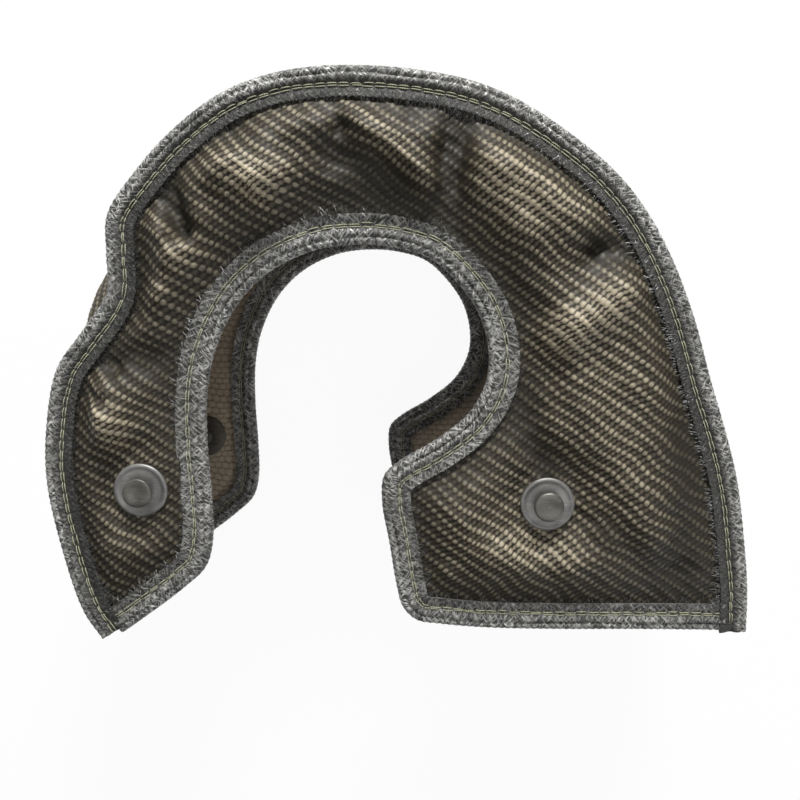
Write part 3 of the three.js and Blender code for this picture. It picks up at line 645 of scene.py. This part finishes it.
def sew_rim(step):
    """The cover cloth and mat of the rim band, as one padded piece."""
    step *= ROUGH
    end = CLOTH_INSET / RIM_LENGTH
    share = np.linspace(end, 1 - end, round(RIM_LENGTH / step))
    flange = round((RIM_ROOT + FLANGE_TIP) / -step)
    wall = round(RIM_GIRTH / step)
    depth = np.concatenate([np.zeros(flange), np.linspace(0, 1, wall), np.ones(flange)])
    tip_out = -FLANGE_TIP - RIM_ROOT
    out = np.concatenate([np.linspace(tip_out, 0, flange, endpoint=False),
                          np.zeros(wall), np.linspace(0, tip_out, flange + 1)[1:]])
    share2, depth2 = np.meshgrid(share, depth, indexing="ij")
    over = rim_over(share2, depth2) + out
    height = RIM_TOP + (RIM_LOW - RIM_TOP) * depth2
    run = np.cumsum(np.hypot(np.diff(over, axis=1, prepend=over[:, :1]),
                             np.diff(height, axis=1, prepend=height[:, :1])), axis=1)
    s = share2 * RIM_LENGTH
    c, t = math.cos(WALE_TURN), math.sin(WALE_TURN)
    drift = 0.8 * np.sin(s / 23) + 0.6 * np.sin(run / 17 + s / 41) + 0.2 * np.sin(s / 5 + run / 4)
    along = s * c + run * t + drift
    across = run * c - s * t + 0.6 * drift + 0.25 * np.sin(s / 4.2 - run / 6)
    raised = weave(along, across)
    full = rim_fullness(share2)
    free = smooth((run - 9.5) / 4) * smooth((run[:, -1:] - run - 9.5) / 4)
    free = free * smooth((np.minimum(share2, 1 - share2) * RIM_LENGTH - 7) / 4)
    lift = free * (FLOAT_RISE * (raised - FLOAT_LEVEL)
                   + 0.35 * np.sin(s / 7.3 + 2 * np.sin(run / 13)) * full)
    d_over, d_height = np.gradient(over, axis=1), np.gradient(height, axis=1)
    size = np.hypot(d_over, d_height) + 1e-9
    outer = rim_place(share2, over - d_height / size * lift, height + d_over / size * lift)
    inner_depth = np.linspace(1, 0, 12)
    share3, depth3 = np.meshgrid(share, inner_depth, indexing="ij")
    thick = rim_thickness(share3, depth3)
    wall_height = RIM_TOP + (RIM_LOW - RIM_TOP) * depth3
    inner = rim_place(share3, rim_over(share3, depth3) - thick, wall_height)
    one = share[:, None]
    tip = np.full_like(one, -FLANGE_TIP)
    root = np.full_like(one, RIM_ROOT - 0.6)
    low = np.full_like(one, RIM_LOW - RIM_SKIN)
    top = np.full_like(one, RIM_TOP + RIM_SKIN)
    low_lip, low_root = rim_place(one, tip, low), rim_place(one, root, low)
    top_root, top_lip = rim_place(one, root, top), rim_place(one, tip, top)
    rows = np.concatenate([outer, low_lip, low_root, inner[:, 1:-1], top_root, top_lip], axis=1)
    values = np.zeros(rows.shape)
    values[:, :outer.shape[1]] = np.stack([along, across, raised], axis=-1)
    piece = loft("rim_padded_cloth", rows, values, TWILL)
    store_crest_shading(piece, np.full(len(piece.data.vertices), RIM_CREST_SHADING))
    return piece


rim_pad = sew_rim(0.62)
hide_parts("rim_cover", "rim_insulation")

# The bindings. Tape knitted from fine stainless wire is folded over each edge, flattened by the
# sewing, and stands up in small loops along its fold and its two free edges.
TAPE_WALL = 0.7
OUTER_SLOT = 4.0  # room for the layers in a seam, and in a free edge
FREE_SLOT = 2.7
FREE_LEVEL = 0.65
RIM_END_LEVEL = 0.3 - FREE_SLOT / 2
NOSE = 2.4  # how far in from the fold the tape is rounded
LOOP_LONG = 1.95  # size of a knitted loop
LOOP_WIDE = 1.5
STITCH = 3.4
STITCH_LINE = 5.2  # from the fold


def tape_finish(name, least, most):
    """Knitted stainless wire over its own shadow, with painted shade over its inner half, by a
    share.
    """
    knit = Finish(name)
    along, across, raised = knit.pattern()
    slow = knit.noise(knit.object_place(), 60.0, 2.0)
    # Loops lean both ways; each shows for a few millimetres and dives under the next.
    left = knit.noise(knit.vector(along * 1.5 + across * 1.15, along * 0.22 - across * 0.3),
                      0.95, 2.0)
    right = knit.noise(knit.vector(along * 1.4 - across * 1.25, along * 0.22 + across * 0.28, 9.0),
                       0.95, 2.0)
    rung = knit.noise(knit.vector(along * 1.9, across * 0.3, 5.0), 1.0, 2.0)
    strand = left.within(0.5, 0.64).do("MAXIMUM", right.within(0.51, 0.65))
    strand = strand.do("MAXIMUM", rung.within(0.54, 0.68) * 0.8)
    strand = strand * (0.45 + 0.55 * raised)
    wire = knit.blend(slow.within(0.35, 0.7), (0.40, 0.395, 0.37), (0.72, 0.71, 0.675))
    under = knit.blend(left.within(0.3, 0.6), (0.014, 0.0138, 0.013), (0.085, 0.083, 0.077))
    colour = knit.blend(strand, under, wire)
    # Painted shade over the tape from about 3.4 mm in from its fold to its free edges, by a share
    # between least and most.
    shaded = across.do("ABSOLUTE").within(3.4, 5.6) * (least + (most - least) * slow)
    colour = knit.blend(shaded, colour, (0.020, 0.019, 0.016))
    height = strand + 0.3 * rung
    return knit.wear(
        Base_Color=colour, Metallic=0.1 + 0.3 * strand, Roughness=0.6 - 0.2 * strand,
        Normal=knit.bump(height, 0.0003, 0.9),
    )


SHADED_KNIT = tape_finish("shaded_knitted_wire", 0.68, 1.04)
KNIT = tape_finish("knitted_wire", 0.1, 0.6)


def offset(line, distance):
    """The line moved to its right. Round a corner tighter than the distance it is cut across."""
    way = np.gradient(line, axis=0)
    way /= np.linalg.norm(way, axis=1)[:, None]
    moved = line + np.column_stack([way[:, 1], -way[:, 0]]) * distance
    good = np.nonzero(distance_to(line, moved) > distance * 0.985)[0]
    index = np.arange(len(line))
    return np.stack([np.interp(index, good, moved[good, k]) for k in (0, 1)], axis=1)


def tape_profile(slot, level, steps, along):
    """The tape's section at each place along it: distance in from the fold, height, pattern."""
    half = slot / 2 + TAPE_WALL
    t = np.linspace(-1, 1, steps)
    reach = TAPE + half * 0.6
    path = np.abs(t) * reach
    inward = np.where(path > NOSE, path - NOSE * 0.35, NOSE * 0.65 * (path / NOSE) ** 1.7)
    rise = half * np.clip(1 - (1 - np.clip(path / NOSE, 0, 1)) ** 2.2, 0, 1)
    inward = inward * TAPE / inward.max()
    s, q = along[:, None], t[None, :] * reach
    row = np.floor((q + 40) / LOOP_WIDE)
    loop = np.abs(np.sin(math.pi * (s / LOOP_LONG + 0.5 * (row % 2))))
    loop = loop * (0.55 + 0.45 * np.abs(np.sin(math.pi * q / LOOP_WIDE)))
    uneven = 0.5 + 0.5 * np.sin(s / 3.7 + 1.3 * row) * np.sin(s / 11.3 - 0.7 * row)
    raised = np.clip(loop * (0.6 + 0.4 * uneven), 0, 1)
    # It dips under the thread, and has a crease along its nose and a loose, flared free edge.
    dip = 0.66 * np.exp(-((inward[None, :] - STITCH_LINE) / 1.3) ** 2)
    dip = dip * (0.75 + 0.25 * np.abs(np.cos(math.pi * s / STITCH)))
    wave = 0.5 + 0.5 * np.sin(s / 6.1 + 1.5 * np.sin(s / 17.0))
    dip = dip + (0.35 + 0.3 * wave) * np.exp(-((inward[None, :] - 1.9 - 0.5 * wave) / 0.34) ** 2)
    flare = 0.55 * smooth((inward[None, :] - 6.4) / 2.1) * (0.2 + 0.8 * uneven)
    lift = 0.36 * (raised - 0.5) - dip + flare
    lift = lift + 0.35 * np.exp(-((inward[None, :] - 3.3) / 0.9) ** 2)
    crest = np.exp(-(path[None, :] / 1.6) ** 2)
    inward = inward[None, :] + crest * (0.28 * (0.5 - loop) - 0.1)
    free = smooth((path[None, :] / reach - 0.9) / 0.1)
    inward = inward + free * 0.3 * (np.abs(np.sin(math.pi * s / LOOP_LONG)) - 0.7)
    height = np.sign(t)[None, :] * (rise[None, :] + lift * np.clip(path / NOSE, 0, 1)[None, :])
    height = height + 0 * s
    lining = np.array([[TAPE - 0.1, slot / 2], [1.2, slot / 2 - 0.1], [1.2, 0.1 - slot / 2],
                       [TAPE - 0.1, -slot / 2]])
    ones = np.ones((len(along), 1))
    inward = np.hstack([inward + 0 * s, ones * lining[:, 0]])
    height = np.hstack([height, ones * lining[:, 1]]) + level
    pattern = np.zeros((*inward.shape, 3))
    pattern[..., 0] = s
    pattern[:, :steps, 1] = q
    pattern[:, :steps, 2] = raised
    return inward, height, pattern


def bind(name, node, line, far, up, finish, slot, level, steps):
    """Tape along an edge: its fold, the line of its free edges and its upward direction."""
    inward, height, pattern = tape_profile(slot, level, steps, run_along(line))
    way = (far - line) / TAPE
    rows = line[:, None] + way[:, None] * inward[..., None] + up[:, None] * height[..., None]
    piece = loft(name, rows, pattern, finish)
    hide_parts(node)
    return piece


def flat_edge(line, seam, side):
    """Edge line, inner line and upward direction of a panel's edge."""
    far = offset(line, TAPE)
    level = np.full((len(line), 1), seam)
    up = np.zeros((len(line), 3))
    up[:, 2] = side
    return np.hstack([line, level]), np.hstack([far, level]), up


END_CLEAR = TAPE - 1.5  # the inner tape stops this far from the ends, under the outer one
edges = {}
for panel_name, seam, side, outer, step in (
        ("front", FRONT_SEAM, 1, OUTER_FRONT, 0.5), ("back", BACK_SEAM, -1, OUTER_BACK, 0.7)):
    steps = 40 if side > 0 else 30
    outer_line = through(outer, step * ROUGH)
    inner_line = through(INNER, step * ROUGH)[::-1]
    clear = round(END_CLEAR / (step * ROUGH))
    inner_line = inner_line[clear:-clear]
    edges[panel_name, "outer"] = (*flat_edge(outer_line, seam, side), OUTER_SLOT, 0)
    edges[panel_name, "inner"] = (*flat_edge(inner_line, seam, side), FREE_SLOT, FREE_LEVEL)
    for edge_name in ("outer", "inner"):
        line, far, up, slot, level = edges[panel_name, edge_name]
        bind(f"{panel_name}_{edge_name}_tape", f"{panel_name}_{edge_name}_binding",
             line, far, up, SHADED_KNIT if edge_name == "outer" else KNIT, slot, level, steps)


RIM_END = 66  # length of the tape on an end of the rim


def rim_end(end):
    """Edge, inner line and outward direction of the tape on one end of the rim band."""
    depth = np.linspace(0.052, 0.948, round(RIM_END / (0.7 * ROUGH)))
    height = RIM_TOP + (RIM_LOW - RIM_TOP) * depth
    shares = [np.full(len(depth), abs(end - w / RIM_LENGTH)) for w in (0, TAPE)]
    line, far = (rim_place(s, rim_over(s, depth), height) for s in shares)
    out = rim_place(shares[0], rim_over(shares[0], depth) + 1, height) - line
    return line, far, out


for end, side_name in ((0, "left"), (1, "right")):
    line, far, out = rim_end(end)
    edges["rim", side_name] = (line, far, out, FREE_SLOT, RIM_END_LEVEL)
    bind(f"rim_{side_name}_end_tape", f"rim_{side_name}_end_binding", line, far, out, KNIT,
         FREE_SLOT, RIM_END_LEVEL, 26)

# The sewing. Every tape is stitched through with a doubled pale green aramid thread, in stitches
# of about 3.4 mm that sink into the wire at each needle hole.
THREAD_RADIUS = 0.15
THREAD_TRACK = 0.34  # how far each row of thread runs from the line of the sewing


def thread_finish():
    """Twisted aramid thread."""
    thread = Finish("aramid_thread")
    along, around, sunk_shade = thread.pattern()
    ply = (along * 9.0 + around * 2.0).do("SINE") * 0.5 + 0.5
    fuzz = thread.noise(thread.object_place(), 900.0, 2.0)
    colour = thread.blend(ply.within(0.1, 0.8), (0.20, 0.20, 0.125), (0.48, 0.48, 0.33))
    colour = thread.blend(fuzz.within(0.45, 0.75) * 0.6, colour, (0.27, 0.255, 0.165))
    # Painted shade where the thread sinks into the knit at each end of a stitch.
    colour = thread.blend(sunk_shade.within(0.5, 1.1) * 0.6, colour, (0.22, 0.21, 0.13))
    return thread.wear(Base_Color=colour, Roughness=0.55 + 0.2 * fuzz,
                       Normal=thread.bump(ply + fuzz, 0.00008, 0.8), Sheen_Weight=0.2)


THREAD = thread_finish()


def edge_at(run, line, far, up, s):
    """Fold, way inwards and upward direction at lengths s along an edge."""
    base, end, rise = (np.stack([np.interp(s, run, part[:, a]) for a in range(3)], axis=1)
                       for part in (line, far, up))
    return base, (end - base) / TAPE, rise


def rings_round(middle, side, rise, turn, radius):
    """Rings of points round a line, with a radius at each of its points."""
    ring = (side[:, None] * np.cos(turn)[None, :, None]
            + rise[:, None] * np.sin(turn)[None, :, None])
    return middle[:, None] + ring * radius[:, None, None]


def tube_faces(count, rings, sides, tips=()):
    """Faces of many tubes, whose points follow each other ring by ring."""
    quads = [(i * sides + j, i * sides + (j + 1) % sides,
              (i + 1) * sides + (j + 1) % sides, (i + 1) * sides + j)
             for i in range(rings - 1) for j in range(sides)]
    tube = np.array(quads + list(tips))
    return (tube[None] + rings * sides * np.arange(count)[:, None, None]).reshape(-1, 4)


def stitches(name, line, far, up, slot, level):
    """Both rows of thread on both faces of one tape."""
    run = run_along(line)
    half = slot / 2 + TAPE_WALL
    count = int(run[-1] / STITCH)
    x = np.linspace(0, 1, 6)
    turn = np.linspace(0, 2 * math.pi, 6, endpoint=False)
    points, values = [], []
    for face in (1, -1):
        for track in (-THREAD_TRACK, THREAD_TRACK):
            for k in range(count):
                wobble = rng.normal(0, 0.12, 3)
                s = (k + 0.02 + 0.96 * x) * STITCH + wobble[0]
                arch = np.sin(math.pi * x) ** 0.35
                inward = STITCH_LINE + 1.15 * track * (0.8 + 0.2 * arch) + wobble[1]
                height = half - 0.66 + 0.42 * arch + wobble[2] * 0.3
                base, way, rise = edge_at(run, line, far, up, s)
                side = way / np.linalg.norm(way, axis=1)[:, None]
                middle = base + way * inward[:, None] + rise * (level + face * height)[:, None]
                radius = THREAD_RADIUS * (0.75 + 0.25 * arch)
                points.append(rings_round(middle, side, rise, turn, radius))
                pattern = np.empty((6, 6, 3))
                pattern[..., 0] = s[:, None]
                pattern[..., 1] = turn
                # How far the thread has sunk into the knit, which its finish paints as shade.
                pattern[..., 2] = (1 - arch)[:, None] + wobble[1]
                values.append(pattern)
    tips = [(0, 5, 4, 3), (0, 3, 2, 1), (30, 31, 32, 33), (30, 33, 34, 35)]
    piece = mesh_piece(name, np.array(points).reshape(-1, 3),
                       tube_faces(len(points), 6, 6, tips),
                       np.array(values).reshape(-1, 3), THREAD)
    close_skin(piece)
    for polygon in piece.data.polygons:
        polygon.use_smooth = True
    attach(piece, "root")


for (panel_name, edge_name), (line, far, up, slot, level) in edges.items():
    stitches(f"{panel_name}_{edge_name}_thread", line, far, up, slot, level)

# The frayed ends. The cut sides of the knit fray, and short ends of its wire lie loose over the
# cloth beside each tape of the panels.
WIRE_RADIUS = 0.085


def wire_finish():
    """Ends of stainless wire, with grain, coloured dark all over as painted shade beside the tapes.
    """
    wire = Finish("shaded_wire_ends")
    grain = wire.noise(wire.object_place(), 1500.0, 2.0)
    colour = wire.blend(grain.within(0.35, 0.65), (0.035, 0.035, 0.034), (0.22, 0.22, 0.215))
    return wire.wear(Base_Color=colour, Metallic=0.5, Roughness=0.35 + 0.2 * grain)


SHADED_WIRE = wire_finish()


def frayed_wires(name, line, far, up, slot, level, faces_of_tape, per_millimetre):
    """Loose wire ends over one or both faces of a tape, each a thin tapered spike."""
    run = run_along(line)
    half = slot / 2 + TAPE_WALL
    x = np.linspace(0, 1, 5)
    turn = np.linspace(0, 2 * math.pi, 3, endpoint=False)
    points, values = [], []
    for face in faces_of_tape:
        for _ in range(int(run[-1] * per_millimetre)):
            s0, lean, length, rise0 = rng.uniform((2, -2.2, 1.2, 0.1), (run[-1] - 2, 2.2, 4.2, 1.0))
            start = rng.uniform(6.6, 8.3)
            s = s0 + lean * x
            inward = start + length * x
            height = half - 0.45 + rise0 * np.sin(math.pi * (0.15 + 0.85 * x)) - 0.5 * x
            base, way, rise = edge_at(run, line, far, up, s)
            middle = base + way * inward[:, None] + rise * (level + face * height)[:, None]
            forward = np.gradient(middle, axis=0)
            side = np.cross(forward, rise)
            side /= np.linalg.norm(side, axis=1)[:, None]
            points.append(rings_round(middle, side, rise, turn, WIRE_RADIUS * (1 - 0.5 * x)))
            values.append(np.broadcast_to([0, 0, 1.0], (5, 3, 3)))
    piece = mesh_piece(name, np.array(points).reshape(-1, 3), tube_faces(len(points), 5, 3),
                       np.array(values).reshape(-1, 3), SHADED_WIRE)
    close_skin(piece, 3)
    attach(piece, "root")


for (panel_name, edge_name), (line, far, up, slot, level) in edges.items():
    if panel_name != "rim":
        frayed_wires(f"{panel_name}_{edge_name}_frayed_wire", line, far, up, slot, level,
                     (1,) if edge_name == "outer" or panel_name == "front" else (1, -1),
                     3.4 if edge_name == "outer" else 1.2)

# The liners. A brown knitted mesh closes the inside of each panel and of the rim, its cells like
# small bricks, and is caught in the bindings with the cover.
CELL_LONG = 2.9
CELL_WIDE = 2.2


def liner_finish():
    """Heat-stained knitted mesh."""
    mesh = Finish("knitted_liner")
    along, across, raised = mesh.pattern()
    hair = mesh.noise(mesh.vector(along * 2.6, across * 2.2), 1.6, 3.0, 0.65)
    cloud = mesh.noise(mesh.object_place(), 45.0, 2.0)
    cell = mesh.blend(hair.within(0.3, 0.7), (0.24, 0.185, 0.125), (0.60, 0.50, 0.37))
    cord = mesh.blend(hair.within(0.3, 0.7), (0.030, 0.023, 0.016), (0.12, 0.095, 0.068))
    colour = mesh.blend(raised, cord, cell)
    colour = mesh.blend(cloud.within(0.4, 0.75) * 0.5, colour, (0.10, 0.085, 0.065))
    return mesh.wear(Base_Color=colour, Roughness=0.75 - 0.15 * hair,
                     Normal=mesh.bump(hair, 0.0003, 0.8))


LINER = liner_finish()


def brick(along, across):
    """Brick-like knitted cells, 1 in a cell and 0 on the cord between cells."""
    row = np.floor(across / CELL_WIDE)
    a = along / CELL_LONG + 0.5 * (row % 2)
    b = np.abs(a - np.floor(a) - 0.5) * 2
    c = np.abs(across / CELL_WIDE - row - 0.5) * 2
    return np.clip(1.25 - b ** 4 - c ** 4, 0, 1)


def sew_liner(name, node, panel, side, seam, step):
    step *= ROUGH
    uv, xy, faces = cloth_grid(panel, step, step)
    raised = brick(xy[:, 0] + quick_u(xy), xy[:, 1] + quick_v(xy))
    free = smooth((panel.from_edge(xy) - 7) / 4)
    height = -0.4 - free * (0.25 * raised + 0.3 + 0.25 * lumps(xy))
    points = np.column_stack([xy, seam + side * height])
    values = np.column_stack([xy, raised])
    if side > 0:
        faces = faces[:, ::-1]
    piece = mesh_piece(name, points, faces, values, LINER)
    close_below(piece, seam + side * 0.4)
    for polygon in piece.data.polygons:
        polygon.use_smooth = len(polygon.vertices) == 4
    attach(piece, "root")
    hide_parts(node)


sew_liner("front_liner_mesh", "front_liner", front, 1, FRONT_SEAM, 0.9)
sew_liner("back_liner_mesh", "back_liner", back, -1, BACK_SEAM, 0.6)


def sew_rim_liner(step):
    step *= ROUGH
    share = np.linspace(2.5 / RIM_LENGTH, 1 - 2.5 / RIM_LENGTH, round(RIM_LENGTH / step))
    depth = np.linspace(0.02, 0.98, round(72 / step))
    share2, depth2 = np.meshgrid(share, depth, indexing="ij")
    height = RIM_TOP + (RIM_LOW - RIM_TOP) * depth2
    thick = rim_thickness(share2, depth2) + 0.25
    s = share2 * RIM_LENGTH
    raised = brick(s + 0.3 * np.sin(height / 5), height + 0.3 * np.sin(s / 6))
    over = rim_over(share2, depth2) - thick
    near = rim_place(share2, over - 0.45 - 0.25 * raised, height)
    far_depth = np.linspace(0.98, 0.02, 10)
    share3, depth3 = np.meshgrid(share, far_depth, indexing="ij")
    height3 = RIM_TOP + (RIM_LOW - RIM_TOP) * depth3
    thick3 = rim_thickness(share3, depth3) + 0.25
    behind = rim_place(share3, rim_over(share3, depth3) - thick3, height3)
    rows = np.concatenate([near, behind], axis=1)
    values = np.zeros(rows.shape)
    values[:, :near.shape[1]] = np.stack([s, height, raised], axis=-1)
    piece = loft("rim_liner_mesh", rows, values, LINER)
    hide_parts("rim_liner")
    return piece


rim_liner = sew_rim_liner(1.0)

# The lacing studs. Each is a turned steel capstan over a domed washer, riveted through the cloths
# against a disc on the inside. The wire that laces the blanket shut runs round its waist.
SEGMENTS = 64


def steel_finish(name, dark, light):
    """Turned and tumbled stainless steel with handling scratches."""
    steel = Finish(name)
    place = steel.object_place()
    grain = steel.noise(place, 900.0, 3.0, 0.6)
    scratch = steel.noise(steel.node("Mapping", {"Vector": place, "Rotation": (0, 0, 0.6),
                                                 "Scale": (300, 4200, 300)}).outputs[0], 1.0)
    stain = steel.noise(place, 160.0, 3.0)
    colour = steel.blend(stain.within(0.35, 0.7), dark, light)
    colour = steel.blend(scratch.within(0.62, 0.75) * 0.35, colour, (0.62, 0.61, 0.59))
    rough = 0.36 + 0.2 * grain - 0.08 * scratch
    return steel.wear(Base_Color=colour, Metallic=0.7, Roughness=rough + 0.08,
                      Normal=steel.bump(grain + scratch, 0.00004, 0.6))


STEEL = steel_finish("stud_steel", (0.17, 0.166, 0.157), (0.29, 0.285, 0.272))
STUD_STEEL = steel_finish("cap_steel", (0.095, 0.092, 0.080), (0.185, 0.18, 0.16))
# The inner discs are a darker copy of the steel, as painted shade for the shade they lie in.
SHADED_DISC_STEEL = steel_finish("shaded_disc_steel", (0.07, 0.062, 0.052), (0.13, 0.115, 0.095))


def turned(name, profile, place, side, finish, node):
    """A piece turned about the stud's axis, spun from a profile of radii and heights."""
    bpy.ops.object.select_all(action="DESELECT")
    bpy.ops.mesh.primitive_circle_add(vertices=3, radius=MM, location=(0, 0, 0))
    piece = bpy.context.object
    piece.name = name
    shape = bmesh.new()
    verts = [shape.verts.new((r * MM, 0, h * MM)) for r, h in profile]
    for a, b in zip(verts, verts[1:] + (verts[:1] if profile[0][0] > 0 else [])):
        shape.edges.new((a, b))
    shape.to_mesh(piece.data)
    shape.free()
    bpy.ops.object.mode_set(mode="EDIT")
    bpy.ops.mesh.select_all(action="SELECT")
    bpy.ops.mesh.spin(steps=SEGMENTS, angle=2 * math.pi, center=(0, 0, 0), axis=(0, 0, 1))
    bpy.ops.mesh.select_all(action="SELECT")
    bpy.ops.mesh.remove_doubles(threshold=0.00001)
    bpy.ops.mesh.normals_make_consistent(inside=False)
    bpy.ops.object.mode_set(mode="OBJECT")
    x, y = np.array(place) + SHIFT
    seam = FRONT_SEAM if side > 0 else BACK_SEAM
    if side < 0:
        piece.data.transform(Matrix.Rotation(math.pi, 4, "X"))
    piece.data.transform(Matrix.Translation((x * MM, y * MM, seam * MM)))
    piece.data.materials.append(finish)
    shade(piece, 40)
    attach(piece, "root")
    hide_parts(node)


def lifted(level, profile):
    """Radii and heights, with the heights counted from a level."""
    return [(radius, level + height) for radius, height in profile]


STUD_BASE = STUD_SEAT + 1.5
DISC_LEVEL = -1.9
washer_profile = lifted(STUD_SEAT, [
    (2.1, 0), (7.2, 0), (7.6, 0.15), (7.85, 0.45), (7.85, 0.8), (7.7, 1.05), (7.4, 1.2),
    (6.9, 1.18), (6.5, 0.95), (5.8, 0.9), (2.1, 1.15),
])
rivet_head = lifted(DISC_LEVEL, [
    (0, -1.1), (2.2, -1.05), (2.65, -0.85), (2.8, -0.5), (2.7, -0.3), (1.8, -0.3),
])
capstan = lifted(STUD_BASE, [
    (1.8, 0), (3, 0), (3, 0.3), (2.85, 0.85), (3, 1.55), (3.9, 1.7), (4.15, 1.85),
    (4.25, 2.1), (4.25, 2.75), (4.15, 3.0), (3.9, 3.16), (3.5, 3.2), (2.4, 3.2), (2.2, 3.14),
    (0, 3.14),
])
disc_profile = lifted(DISC_LEVEL, [
    (2.1, 0), (2.1, 1.2), (7.4, 1.2), (7.75, 1.0), (7.85, 0.6), (7.75, 0.2), (7.4, 0),
])
for side, panel_name in ((1, "front"), (-1, "back")):
    for place, stud_name in zip(STUDS, ("left", "right")):
        prefix = f"{panel_name}_{stud_name}"
        turned(f"{prefix}_turned_stud", rivet_head + capstan, place, side, STUD_STEEL,
               f"{prefix}_stud")
        turned(f"{prefix}_domed_washer", washer_profile, place, side, STEEL,
               f"{prefix}_washer")
        turned(f"{prefix}_inner_disc", disc_profile, place, side, SHADED_DISC_STEEL,
               f"{prefix}_backing_disc")
